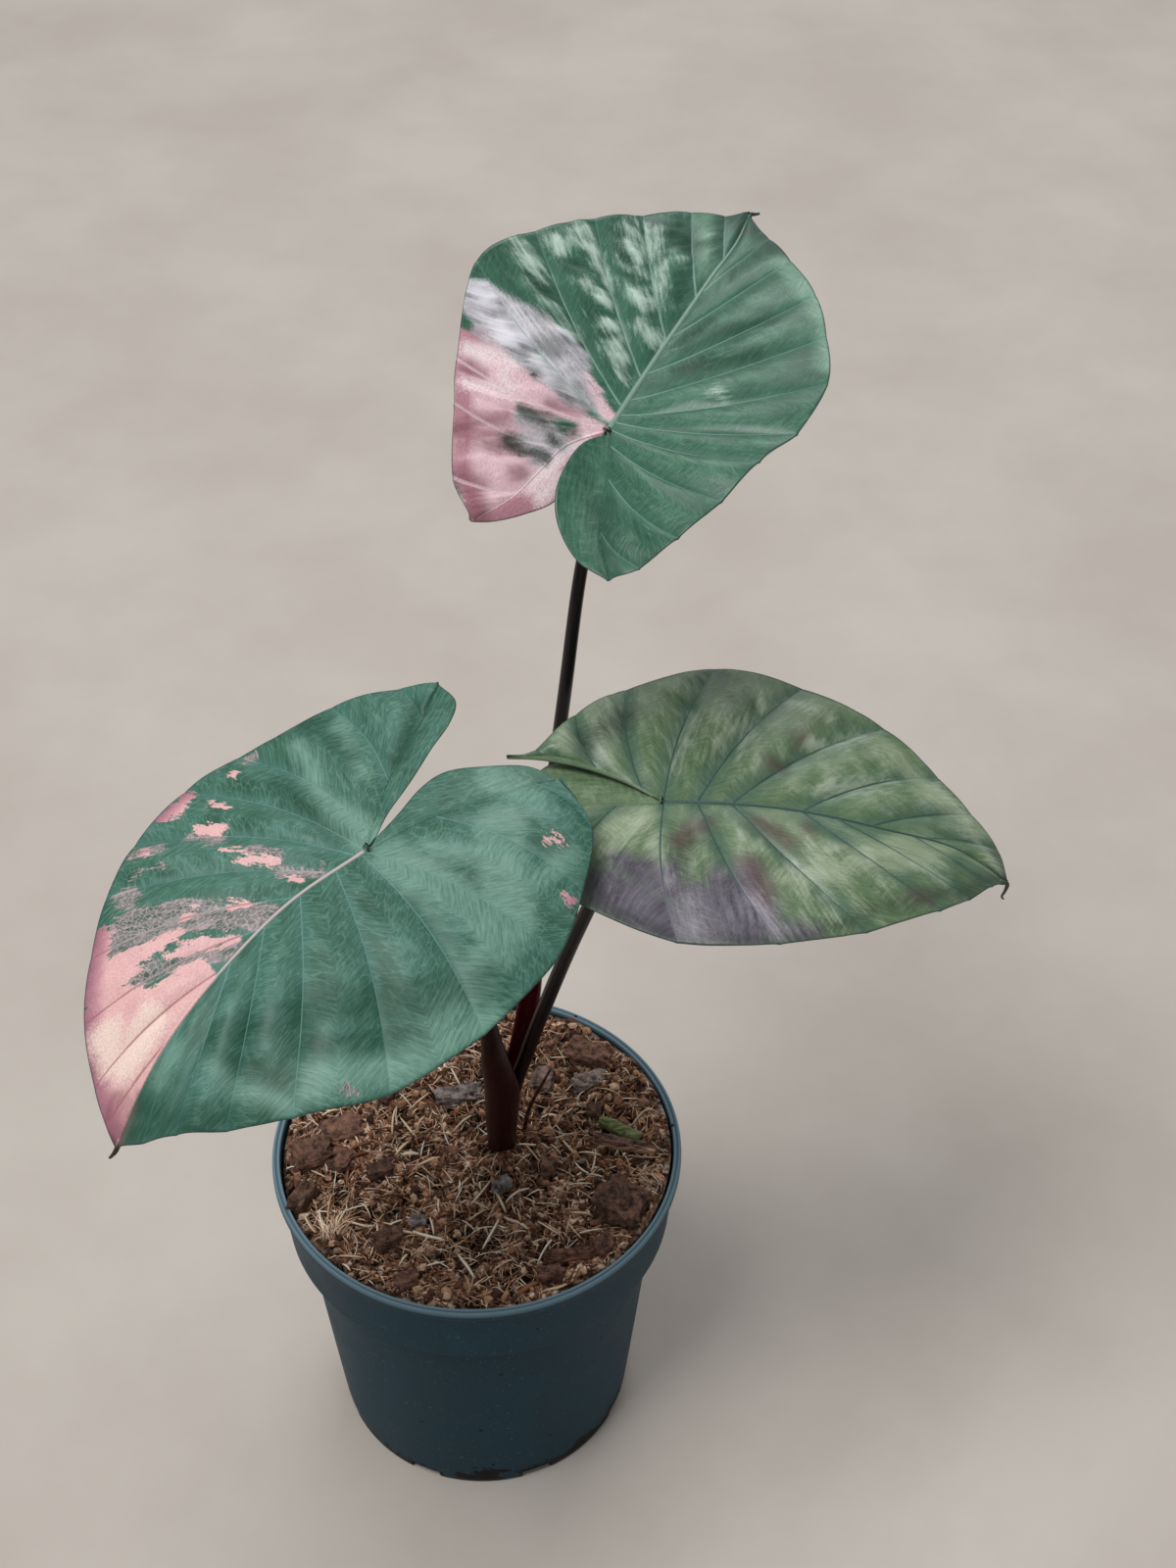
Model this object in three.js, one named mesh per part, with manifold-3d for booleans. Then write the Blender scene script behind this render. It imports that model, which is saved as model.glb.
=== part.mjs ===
// A young variegated alocasia in a 14 cm nursery pot: three heart-shaped leaves on dark petioles that
// rise from one foot in a coir and bark mix. Millimetres, +Z up. The origin is the middle of the pot's
// underside, and the plant is seen from the front when looking along +Y.
import * as THREE from "three";
import { mergeVertices } from "three/addons/utils/BufferGeometryUtils.js";
import Module from "manifold-3d";

const POT_HEIGHT = 126;
const RIM_RADIUS = 70;
const BASE_RADIUS = 52.7;
const WALL = 1.3; // moulded wall of the pot
const BODY_TOP_RADIUS = 61.4;
const STEP_HEIGHT = 96; // where the tapered body meets the wider collar
const COLLAR_FOOT_RADIUS = 66.4;
const COLLAR_TOP_RADIUS = 68.4;
const POT_SIDES = 48;

const GAP = 0.35; // left between pieces that touch
const SOIL_LEVEL = 121.5;
const FOOT = { x: 8.2, y: 1.9, radius: 5.4, depth: 21 }; // plain hole in the mix that the stems stand in

const BLADE = 0.8; // thickness of a blade between its ribs
const REACH = 100; // length that the curves of a blade are stated over
const RIB_HALF_WIDTH = 0.9;
const ROWS_PER_VEIN = 3;
const ACROSS = [0, 0.06, 0.2, 0.37, 0.55, 0.73, 0.88, 1]; // columns from midrib to margin
const ACROSS_SINUS = [0, 0.35, 0.7, 1]; // columns from a lobe's main vein to the sinus

const wasm = await Module();
wasm.setup();

// Each blade is stated in its own frame: x along the midrib from the top of the petiole, y to the left,
// z out of the upper face. heading, rise and roll turn that frame, in degrees.
// sag bends the midrib, fold and crown shape the halves, lobes lifts or drops the two rear lobes,
// quilt is the height of the pillows between the veins, and flutter that of the waves of the margin.
// veins lists, from the rear lobe to the tip, where each side vein leaves the midrib and where it ends:
// [millimetres along the midrib, or below 0 the share of the lobe's main vein; x; y of its end].
// sinus runs from the foot of the notch between the lobes out to the end of the lobe.
// over lifts the sinus edge of a lobe that lies on the other one, and is negative for the lower lobe.
const leaves = {
  front: {
    junction: [-23.1, -55, 316.9],
    heading: -133,
    rise: -10,
    roll: -8,
    sag: [0.12, -0.38],
    fold: -0.03,
    crown: -0.3,
    lobes: 0.3,
    flare: -0.1,
    quilt: 1.1,
    flutter: 0.8,
    notch: [-5, -0.8],
    midrib: [[0, 0], [24, -3], [50, -2], [78, 0.5], [99, 5]],
    tail: [[100.3, 4.6, -1.6], [101, 4, -2.8]],
    left: {
      lobe: [[0, 0], [-17, 5], [-33, 14], [-44, 20], [-50.5, 25]],
      sinus: [[-14, -1.5], [-24, -2.5], [-32, -0.5], [-40, 7], [-47.5, 16]],
      over: 0,
      veins: [[-1, -50.5, 25], [-0.8, -47.5, 40], [-0.3, -33, 50], [0, -15, 57], [1.5, 15, 59],
        [10, 44, 53], [22, 66, 39.5], [35, 79, 27.5], [48, 88, 17.5], [68, 94, 10.5], [99, 99, 5]],
    },
    right: {
      lobe: [[0, 0], [-15, -9], [-28, -14.5], [-40, -18], [-51.5, -22]],
      sinus: [[-13, -4], [-24, -6.3], [-35, -9], [-44, -10.5], [-50, -14]],
      over: 0,
      veins: [[-1, -51.5, -22], [-0.75, -45, -32.5], [-0.35, -30, -45], [-0.08, -3, -56], [0, 16, -57.5],
        [3, 37, -55], [12, 54, -46.5], [24, 69, -36.5], [37, 83, -23.5], [52, 92, -10.5], [75, 97, -0.5],
        [99, 99, 5]],
    },
  },
  top: {
    junction: [42.3, 12, 408.4],
    heading: 62,
    rise: 14,
    roll: 11,
    sag: [-0.08, -0.02],
    fold: 0.3,
    crown: 0.05,
    lobes: -0.42,
    flare: -0.02,
    crease: 0.2,
    quilt: 1.3,
    flutter: 0.7,
    notch: [-3, 0.6],
    midrib: [[0, 0], [30, 0.5], [57, 1], [85, 2.5], [107, 6.5]],
    tail: [[108.2, 5.4, -0.3], [109.2, 4.4, -0.4]],
    left: {
      lobe: [[0, 0], [-11, 7], [-22, 9.5], [-32, 12], [-43, 18]],
      sinus: [[-9, 0.6], [-17, 0.8], [-26, 2.6], [-33, 7.5], [-39, 13]],
      over: -1.6,
      veins: [[-1, -43, 18], [-0.7, -36, 27.5], [-0.3, -20, 36], [0, -8, 42], [2, 21, 52],
        [9, 43, 45.5], [21, 59, 35], [37, 73, 26.5], [57, 87, 17.5], [78, 98, 11], [107, 107, 6.5]],
    },
    right: {
      lobe: [[0, 0], [-11, -6], [-22, -10], [-33, -14.5], [-42.8, -22]],
      sinus: [[-9, 3.3], [-17, 3.8], [-26, 2.3], [-34, -3], [-40.7, -12]],
      over: 2.6,
      veins: [[-1, -42.8, -22], [-0.7, -37.5, -28], [-0.35, -28, -33.8], [-0.12, -14, -39.2], [0, 0, -42.9],
        [3, 13, -47.6], [6, 32, -47.6], [12, 51.5, -39.3], [23, 67, -29.5], [39, 83, -15.7], [60, 95, -4.5],
        [107, 107, 6.5]],
    },
  },
  right: {
    junction: [58.7, -24, 307.3],
    heading: -4,
    rise: 2,
    roll: 12,
    sag: [-0.13, -0.2],
    fold: 0.1,
    crown: -0.21,
    lobes: 0.35,
    flare: 0,
    quilt: 1.2,
    flutter: 0.8,
    notch: [-3.5, 1.6],
    midrib: [[0, 0], [32, 0.4], [62, -0.4], [84, 1.2], [99.5, -2.5]],
    tail: [[99.2, -3.4, -2.2], [98.4, -4, -4.4], [99, -4.2, -5.6]],
    left: {
      lobe: [[0, 0], [-11, 6.5], [-22, 10.5], [-33, 11.8], [-44.8, 8.4]],
      sinus: [[-10, 4.8], [-18, 7.4], [-26, 8.8], [-34, 9.2], [-40, 8.8]],
      over: 1.6,
      veins: [[-1, -44.8, 8.4], [-0.75, -37.3, 13.4], [-0.45, -26.6, 27], [-0.15, -12.5, 40], [0, 13, 48.5],
        [10, 39, 45], [20, 63, 34.5], [40, 79, 24], [60, 89, 14.5], [76, 97, 8], [99.5, 99.5, -2.5]],
    },
    right: {
      lobe: [[0, 0], [-11, -2], [-22, -3.5], [-33, -7], [-43, -13]],
      sinus: [[-10, 5.4], [-18, 8.6], [-26, 9.6], [-34, 5.8], [-40, -3]],
      over: -3,
      veins: [[-1, -43, -13], [-0.75, -40, -25], [-0.3, -27, -35], [0, 6, -46.5], [10, 34, -45.5],
        [20, 58, -36.5], [40, 79, -23.5], [50, 88, -14.5], [72, 95, -7], [99.5, 99.5, -2.5]],
    },
  },
};

// Petioles, from the foot up: each station is [x, y, z, radius, opening]. An opening of 1 is a sheath,
// open on one side and wrapped round what it holds; 0 is a plain round stalk.
const petioles = {
  front: {
    faces: 242, // direction of the middle of the sheath's back, degrees
    wrap: 104,
    wall: 1.2,
    stations: [[8.2, 1.5, 101, 4.6, 1], [8.2, 1.5, 122, 4.6, 1], [8.8, 1.1, 140, 5.6, 1],
      [9.2, 0.2, 156, 6.0, 1], [7.6, -1.8, 172, 5.0, 0.9], [6.2, -4.2, 187, 3.4, 0.5],
      [3.7, -9.5, 213, 2.4, 0], [-1.5, -20, 246, 2.3, 0], [-10.4, -36, 281, 2.2, 0]],
  },
  right: {
    faces: 180,
    wrap: 140,
    wall: 1,
    stations: [[10.7, 2.4, 101, 1.9, 0], [10.7, 2.4, 122, 1.9, 0], [11.8, 2.6, 142, 2.1, 0],
      [14.6, 2.6, 159, 2.3, 0], [17.4, 2.2, 170, 2.4, 0], [23.2, 0, 194, 2.4, 0],
      [34.4, -5, 236, 2.35, 0], [46.2, -12, 274, 2.2, 0]],
  },
  top: {
    faces: 80,
    wrap: 118,
    wall: 0.9,
    stations: [[7.7, 5, 101, 1.7, 0], [7.7, 5, 122, 1.7, 0], [8.8, 6.4, 142, 1.8, 0],
      [12.4, 8, 160, 2.2, 0.4], [16.3, 8.2, 176, 3.4, 1], [18.6, 8.4, 191, 3.5, 1],
      [21.3, 9, 213, 2.3, 0.2], [25.4, 9.8, 270, 2.1, 0], [30.6, 10.3, 321, 2, 0],
      [35.1, 11, 363, 1.9, 0]],
  },
};

// A dried remnant of an old sheath, standing in the mix to the right of the foot: [x, y, z, radius].
const drySheath = [[16, 8, 116, 0.75], [16, 8, 124, 0.75], [18, 8.5, 136, 0.7], [22, 8.6, 147, 0.55],
  [25.2, 9, 155, 0.35]];

const radians = THREE.MathUtils.degToRad;

// A point of the smooth curve through the given points; t counts points from the first.
function spline(points, t) {
  const last = points.length - 1;
  const i = Math.min(Math.floor(t), last - 1);
  const f = t - i;
  const before = i > 0 ? points[i - 1] : points[0].map((c, k) => 2 * c - points[1][k]);
  const after = i + 2 <= last ? points[i + 2] : points[last].map((c, k) => 2 * c - points[last - 1][k]);
  return points[i].map((b, k) => {
    const a = before[k];
    const c = points[i + 1][k];
    const d = after[k];
    const square = 2 * a - 5 * b + 4 * c - d;
    const cube = 3 * b - 3 * c + d - a;
    return 0.5 * (2 * b + (c - a) * f + square * f * f + cube * f * f * f);
  });
}

function mix(a, b, f) {
  return a + (b - a) * f;
}

function closedSolid(geometry) {
  const bare = geometry.clone();
  bare.deleteAttribute("normal");
  bare.deleteAttribute("uv");
  const merged = mergeVertices(bare, 1e-4);
  const triVerts = new Uint32Array(merged.index.array);
  const vertProperties = new Float32Array(merged.attributes.position.array);
  return new wasm.Manifold(new wasm.Mesh({ numProp: 3, vertProperties, triVerts }));
}

function geometryOf(solid) {
  const mesh = solid.getMesh();
  const geometry = new THREE.BufferGeometry();
  geometry.setAttribute("position", new THREE.BufferAttribute(new Float32Array(mesh.vertProperties), 3));
  geometry.setIndex(new THREE.BufferAttribute(new Uint32Array(mesh.triVerts), 1));
  geometry.computeVertexNormals();
  return geometry;
}

// The main body alone, without loose crumbs and with any hollow shut inside it filled.
function largestBody(solid) {
  return solid.decompose().reduce((best, body) => (body.volume() > best.volume() ? body : best));
}

function indexedGeometry(points, triangles) {
  const geometry = new THREE.BufferGeometry();
  geometry.setAttribute("position", new THREE.Float32BufferAttribute(points.flat(), 3));
  geometry.setIndex(triangles.flat());
  geometry.computeVertexNormals();
  return geometry;
}

// A blade's height above its own plane, without the relief of its veins.
function bladeHeight(leaf, x, y) {
  const along = Math.max(x, 0) / REACH;
  const back = Math.max(-x, 0) / REACH;
  const across = y / REACH;
  const side = Math.sqrt(across * across + 0.0009) - 0.03;
  const bowed = leaf.sag[0] * along ** 2 + leaf.sag[1] * along ** 3;
  const halves = leaf.fold * side + leaf.crown * across ** 2;
  const rear = leaf.lobes * back ** 2 + leaf.flare * back * side;
  const past = x - 69 - 0.9 * Math.max(-y, 0);
  const bent = ((leaf.crease ?? 0) * (Math.sqrt(past * past + 25) + past)) / 2;
  return REACH * (bowed + halves + rear) - bent;
}

// The upper face of a blade as a triangle mesh with one vertex for each place, and a thickness there.
class Face {
  constructor() {
    this.points = [];
    this.thickness = [];
    this.triangles = [];
    this.known = new Map();
  }

  vertex(x, y, z, thickness) {
    const key = [x, y, z].map((c) => Math.round(c * 1000)).join();
    if (!this.known.has(key)) {
      this.known.set(key, this.points.length);
      this.points.push([x, y, z]);
      this.thickness.push(thickness);
    }
    return this.known.get(key);
  }

  triangle(a, b, c, flip) {
    if (a === b || b === c || a === c) return;
    this.triangles.push(flip ? [a, c, b] : [a, b, c]);
  }

  strip(rowA, rowB, flip) {
    for (let j = 0; j + 1 < rowA.length; j++) {
      this.triangle(rowA[j], rowB[j], rowB[j + 1], flip);
      this.triangle(rowA[j], rowB[j + 1], rowA[j + 1], flip);
    }
  }

  // Closes the face into a solid: the same triangles again below it, and a wall round the edge.
  solid() {
    const count = this.points.length;
    const normals = indexedGeometry(this.points, this.triangles).attributes.normal;
    const lower = this.points.map((p, i) => [
      p[0] - normals.getX(i) * this.thickness[i],
      p[1] - normals.getY(i) * this.thickness[i],
      p[2] - normals.getZ(i) * this.thickness[i],
    ]);
    const triangles = [...this.triangles];
    const edges = new Map();
    for (const [a, b, c] of this.triangles) {
      triangles.push([a + count, c + count, b + count]);
      for (const [from, to] of [[a, b], [b, c], [c, a]]) {
        if (!edges.delete(to + "_" + from)) edges.set(from + "_" + to, [from, to]);
      }
    }
    for (const [from, to] of edges.values()) {
      triangles.push([from, from + count, to + count], [from, to + count, to]);
    }
    return closedSolid(indexedGeometry([...this.points, ...lower], triangles));
  }
}

// Half a blade: rows run from the midrib, or from the lobe's main vein, out to the margin.
function halfBlade(face, leaf, half, sign) {
  const length = leaf.midrib.at(-1)[0];
  const lobe = [[0, sign * RIB_HALF_WIDTH], ...half.lobe.slice(1)];
  const sinus = [leaf.notch, ...half.sinus, half.lobe.at(-1)];
  const veinCount = half.veins.length - 1;

  const spineAt = (station) => {
    if (station < 0) return spline(lobe, -station * (lobe.length - 1));
    const last = leaf.midrib.length - 1;
    let low = 0;
    let high = last;
    for (let n = 0; n < 30; n++) {
      const middle = (low + high) / 2;
      if (spline(leaf.midrib, middle)[0] < station) low = middle;
      else high = middle;
    }
    const [x, y] = spline(leaf.midrib, high);
    return [x, y + sign * RIB_HALF_WIDTH * Math.sqrt(Math.max(1 - station / length, 0))];
  };

  const rows = [];
  for (let i = 0; i <= veinCount * ROWS_PER_VEIN; i++) {
    const t = i / ROWS_PER_VEIN;
    const vein = Math.min(Math.floor(t), veinCount - 1);
    const station = mix(half.veins[vein][0], half.veins[vein + 1][0], t - vein);
    const [, endX, endY] = spline(half.veins, t);
    const [startX, startY] = spineAt(station);
    const bow = 0.08 * (1 - t / veinCount);
    const pillow = Math.abs(Math.sin(Math.PI * t)) ** 0.7;
    const taper = 1 - Math.max(station, 0) / length;
    const ids = ACROSS.map((s) => {
      const curve = bow * Math.sin(Math.PI * s);
      const x = mix(startX, endX, s) - curve * Math.abs(endY - startY);
      const y = mix(startY, endY, s) + sign * curve * (endX - startX);
      const swell = (1 - (1 - s) ** 5) * (1 - 0.6 * s ** 4);
      const relief = leaf.quilt * pillow * swell + leaf.flutter * Math.cos(Math.PI * t) * s ** 3;
      const rib = s === 0 ? 1.3 * taper + 0.2 : 0.4 * (1 - pillow) * (1 - s);
      return face.vertex(x, y, bladeHeight(leaf, x, y) + relief * (i % (veinCount * ROWS_PER_VEIN) ? 1 : 0), BLADE + rib);
    });
    rows.push({ station, ids });
    if (i > 0) face.strip(rows[i - 1].ids, ids, sign < 0);
  }

  const lobeRows = rows.filter((row) => row.station <= 0).map(({ station, ids }) => {
    const [startX, startY] = spineAt(station);
    const share = -station;
    const [endX, endY] = spline(sinus, share * (sinus.length - 1));
    const lift = half.over * Math.sin(Math.PI * share) ** 0.6;
    return ACROSS_SINUS.map((s) => {
      if (s === 0) return ids[0];
      const x = mix(startX, endX, s);
      const y = mix(startY, endY, s);
      return face.vertex(x, y, bladeHeight(leaf, x, y) + lift * s * s, BLADE);
    });
  });
  lobeRows.forEach((row, i) => {
    if (i > 0) face.strip(row, lobeRows[i - 1], sign < 0);
  });
  return {
    midrib: rows.filter((row) => row.station >= 0).map((row) => row.ids[0]),
    notchRow: lobeRows.at(-1),
  };
}

function bladeSolid(leaf) {
  const face = new Face();
  const left = halfBlade(face, leaf, leaf.left, 1);
  const right = halfBlade(face, leaf, leaf.right, -1);
  face.strip(left.notchRow, right.notchRow, true);
  // The rib between the halves, zipped from the petiole to the tip.
  let i = 0;
  let j = 0;
  while (i + 1 < left.midrib.length || j + 1 < right.midrib.length) {
    const nextLeft = left.midrib[i + 1];
    const nextRight = right.midrib[j + 1];
    const advanceLeft =
      nextRight === undefined || (nextLeft !== undefined && face.points[nextLeft][0] <= face.points[nextRight][0]);
    if (advanceLeft) {
      face.triangle(left.midrib[i], right.midrib[j], nextLeft, false);
      i++;
    } else {
      face.triangle(left.midrib[i], right.midrib[j], nextRight, false);
      j++;
    }
  }
  const [tipX, tipY] = leaf.midrib.at(-1);
  const tipZ = bladeHeight(leaf, tipX, tipY) - BLADE / 2;
  const tail = [
    [tipX - 2.5, tipY - 0.5, bladeHeight(leaf, tipX - 2.5, tipY - 0.5) - BLADE / 2, 0.75],
    [tipX, tipY, tipZ, 0.7],
    ...leaf.tail.map(([x, y, drop], n) => [x, y, tipZ + drop, 0.5 - 0.12 * n]),
  ];
  return face.solid().add(closedSolid(stalkGeometry(tail, 5)));
}

// A round stalk through stations of [x, y, z, radius], closed at both ends.
function stalkGeometry(stations, sides) {
  const rings = [];
  const steps = (stations.length - 1) * 2;
  for (let n = 0; n <= steps; n++) {
    const t = n / 2;
    const [x, y, z, radius] = spline(stations, t);
    const ahead = spline(stations, Math.min(t + 0.05, stations.length - 1));
    const behind = spline(stations, Math.max(t - 0.05, 0));
    const along = new THREE.Vector3(ahead[0] - behind[0], ahead[1] - behind[1], ahead[2] - behind[2]);
    const { across, up } = sectionAxes(along);
    rings.push(
      Array.from({ length: sides }, (_, k) => {
        const angle = (2 * Math.PI * k) / sides;
        const c = Math.cos(angle) * radius;
        const s = Math.sin(angle) * radius;
        return [x + across.x * c + up.x * s, y + across.y * c + up.y * s, z + across.z * c + up.z * s];
      }),
    );
  }
  return loft(rings);
}

// Two unit vectors across a stalk: the first is as near to +X as it can be, or to +Y on a level stalk.
function sectionAxes(along) {
  const direction = along.clone().normalize();
  const guide = Math.abs(direction.x) > 0.8 ? new THREE.Vector3(0, 1, 0) : new THREE.Vector3(1, 0, 0);
  const across = guide.addScaledVector(direction, -guide.dot(direction)).normalize();
  return { across, up: direction.clone().cross(across) };
}

// Joins rings of equal length into a closed skin. Each end is closed by a strip from one half of the
// ring to the other, which also suits a ring that is folded round into a sheath.
function loft(rings) {
  const size = rings[0].length;
  const triangles = [];
  rings.slice(1).forEach((_, n) => {
    for (let k = 0; k < size; k++) {
      const next = (k + 1) % size;
      const low = n * size;
      const high = low + size;
      triangles.push([low + k, low + next, high + next], [low + k, high + next, high + k]);
    }
  });
  const top = (rings.length - 1) * size;
  let low = 0;
  let high = size - 1;
  while (low + 1 < high) {
    triangles.push([low, high, low + 1], [top + low, top + low + 1, top + high]);
    low++;
    if (low + 1 < high) {
      triangles.push([low, high, high - 1], [top + low, top + high - 1, top + high]);
      high--;
    }
  }
  return indexedGeometry(rings.flat(), triangles);
}

// A petiole: a stalk whose section opens into a sheath near the foot. Half of the section's points
// follow the back, and the other half close the circle or, on a sheath, follow the inner wall.
function petioleGeometry(petiole, junction, normal) {
  const end = (distance) => junction.clone().addScaledVector(normal, -distance).toArray();
  const radius = petiole.stations.at(-1)[3];
  const stations = [...petiole.stations, [...end(10), radius, 0], [...end(2.9 + GAP), radius, 0]];
  const half = 7;
  const rings = [];
  for (let n = 0; n <= (stations.length - 1) * 2; n++) {
    const t = n / 2;
    const [x, y, z, r, opening] = spline(stations, t);
    const open = THREE.MathUtils.clamp(opening, 0, 1);
    const ahead = spline(stations, Math.min(t + 0.05, stations.length - 1));
    const behind = spline(stations, Math.max(t - 0.05, 0));
    const along = new THREE.Vector3(ahead[0] - behind[0], ahead[1] - behind[1], ahead[2] - behind[2]);
    if (n === (stations.length - 1) * 2) along.copy(normal);
    const { across, up } = sectionAxes(along);
    const wrap = radians(petiole.wrap);
    const ring = [];
    for (let k = 0; k < 2 * half; k++) {
      const outer = k < half;
      const share = outer ? k / (half - 1) : (k - half) / (half - 1);
      const shutStep = (Math.PI - wrap) / half;
      const angle = outer ? mix(-wrap, wrap, share) : mix(wrap + shutStep, 2 * Math.PI - wrap - shutStep, share);
      const foldedAngle = outer ? angle : mix(wrap, -wrap, share);
      const foldedRadius = outer ? r : Math.max(r - petiole.wall, 0.2);
      const facing = radians(petiole.faces);
      const c = mix(r * Math.cos(angle + facing), foldedRadius * Math.cos(foldedAngle + facing), open);
      const s = mix(r * Math.sin(angle + facing), foldedRadius * Math.sin(foldedAngle + facing), open);
      ring.push([x + across.x * c + up.x * s, y + across.y * c + up.y * s, z + across.z * c + up.z * s]);
    }
    rings.push(ring);
  }
  return loft(rings);
}

// Outer radius of the pot's tapered body at a height.
function bodyRadius(z) {
  return mix(BASE_RADIUS, BODY_TOP_RADIUS, z / STEP_HEIGHT);
}

function potSolid() {
  const lip = POT_HEIGHT;
  const profile = [
    [0, 0], [BASE_RADIUS - 1.2, 0], [BASE_RADIUS, 1.4], [bodyRadius(STEP_HEIGHT - 1), STEP_HEIGHT - 1],
    [bodyRadius(STEP_HEIGHT - 1) + 1.2, STEP_HEIGHT + 0.6], [COLLAR_FOOT_RADIUS - 0.8, STEP_HEIGHT + 1.4],
    [COLLAR_FOOT_RADIUS, STEP_HEIGHT + 2.6], [COLLAR_TOP_RADIUS, lip - 4], [RIM_RADIUS - 0.3, lip - 3.6], [RIM_RADIUS, lip - 2.8],
    [RIM_RADIUS, lip - 1.2], [RIM_RADIUS - 0.6, lip - 0.2], [RIM_RADIUS - 1.2, lip - 0.5],
    [RIM_RADIUS - 1.9, lip], [RIM_RADIUS - 2.7, lip - 0.5], [COLLAR_TOP_RADIUS - WALL, lip - 4],
    [COLLAR_FOOT_RADIUS - WALL, STEP_HEIGHT + 3], [bodyRadius(STEP_HEIGHT) - WALL, STEP_HEIGHT + 1],
    [bodyRadius(4) - WALL, 4], [bodyRadius(4) - WALL - 1.6, 2.2], [0, 2.2],
  ];
  const turned = new THREE.LatheGeometry(profile.map(([r, z]) => new THREE.Vector2(r, z)), POT_SIDES);
  turned.rotateX(Math.PI / 2);
  let pot = closedSolid(turned);
  // Drainage slots round the edge of the base.
  const slots = 8;
  for (let n = 0; n < slots; n++) {
    const slot = new THREE.BoxGeometry(9, 11, 5.2);
    slot.translate(BASE_RADIUS - 1.5, 0, 1.2);
    slot.rotateZ((2 * Math.PI * (n + 0.5)) / slots);
    pot = pot.subtract(closedSolid(slot));
  }
  return pot;
}

function seeded(seed) {
  let state = seed;
  return () => {
    state = (state * 1664525 + 1013904223) % 4294967296;
    return state / 4294967296;
  };
}

// Level of the mix: a gentle swell of waves, a mound round the foot, a hollow to its left, and a slight
// rise to the right. Each wave is [across x, across y, phase, height].
const soilWaves = [[0.11, 0.05, 0.4, 0.9], [-0.07, 0.13, 1.9, 0.8], [0.19, -0.16, 4.2, 0.55],
  [0.27, 0.21, 2.6, 0.45], [-0.31, 0.34, 5.5, 0.4]];

function soilHeight(x, y) {
  const waves = soilWaves.reduce((sum, [kx, ky, phase, high]) => sum + high * Math.sin(kx * x + ky * y + phase), 0);
  const mound = 2.2 * Math.exp(-((x - FOOT.x) ** 2 + (y - FOOT.y) ** 2) / 150);
  const hollow = -3.4 * Math.exp(-((x + 4) ** 2 + (y - 5) ** 2) / 40);
  return SOIL_LEVEL + waves + mound + hollow + 0.014 * x;
}

// The larger pieces of bark and stick: [x, y, length, width, height, turn in degrees].
const chips = [[-56.5, -3, 13, 10, 5, 20], [38.5, 43, 15, 9, 4, -15], [-7, 25.5, 15, 7, 2.4, 10],
  [50, -25, 17, 14, 6, 60], [43, -42, 9, 6, 4, 20], [26, -52, 12, 5, 4, 12], [51, 2.5, 21, 3.2, 3.2, -18],
  [49, 7.5, 13, 4.2, 3, -10], [-28, -38, 9, 6, 4, 40], [22, 33, 10, 7, 4, 70], [-35, 26, 9, 6, 3, -40]];

function chipGeometry(x, y, length, width, height, turn, random) {
  const chip = new THREE.IcosahedronGeometry(0.5, 0);
  chip.deleteAttribute("normal");
  chip.deleteAttribute("uv");
  const merged = mergeVertices(chip, 1e-4);
  const position = merged.attributes.position;
  for (let n = 0; n < position.count; n++) {
    const rough = 1 + 0.3 * (random() - 0.5);
    position.setXYZ(n, position.getX(n) * rough, position.getY(n) * rough, position.getZ(n) * rough);
  }
  merged.scale(length * 1.15, width * 1.15, height * 1.3);
  merged.rotateZ(radians(turn));
  merged.translate(x, y, soilHeight(x, y) + height * 0.15);
  return merged;
}

function fibreGeometry(random, reach) {
  const angle = 2 * Math.PI * random();
  const radius = 62 * Math.sqrt(random());
  const x = radius * Math.cos(angle);
  const y = radius * Math.sin(angle);
  const heading = 2 * Math.PI * random();
  const length = mix(7, reach, random());
  const bend = 0.5 * (random() - 0.5);
  const thick = 0.45 + 0.3 * random();
  const stations = [-0.5, -0.15, 0.2, 0.5].map((s, n) => {
    const px = x + length * s * Math.cos(heading + bend * s);
    const py = y + length * s * Math.sin(heading + bend * s);
    const inside = Math.min(1, 64.5 / Math.hypot(px, py));
    const rise = n === 0 || n === 3 ? -1.6 : 0.5 + 0.8 * random();
    return [px * inside, py * inside, soilHeight(px * inside, py * inside) + rise, thick];
  });
  return stalkGeometry(stations, 3);
}

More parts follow.
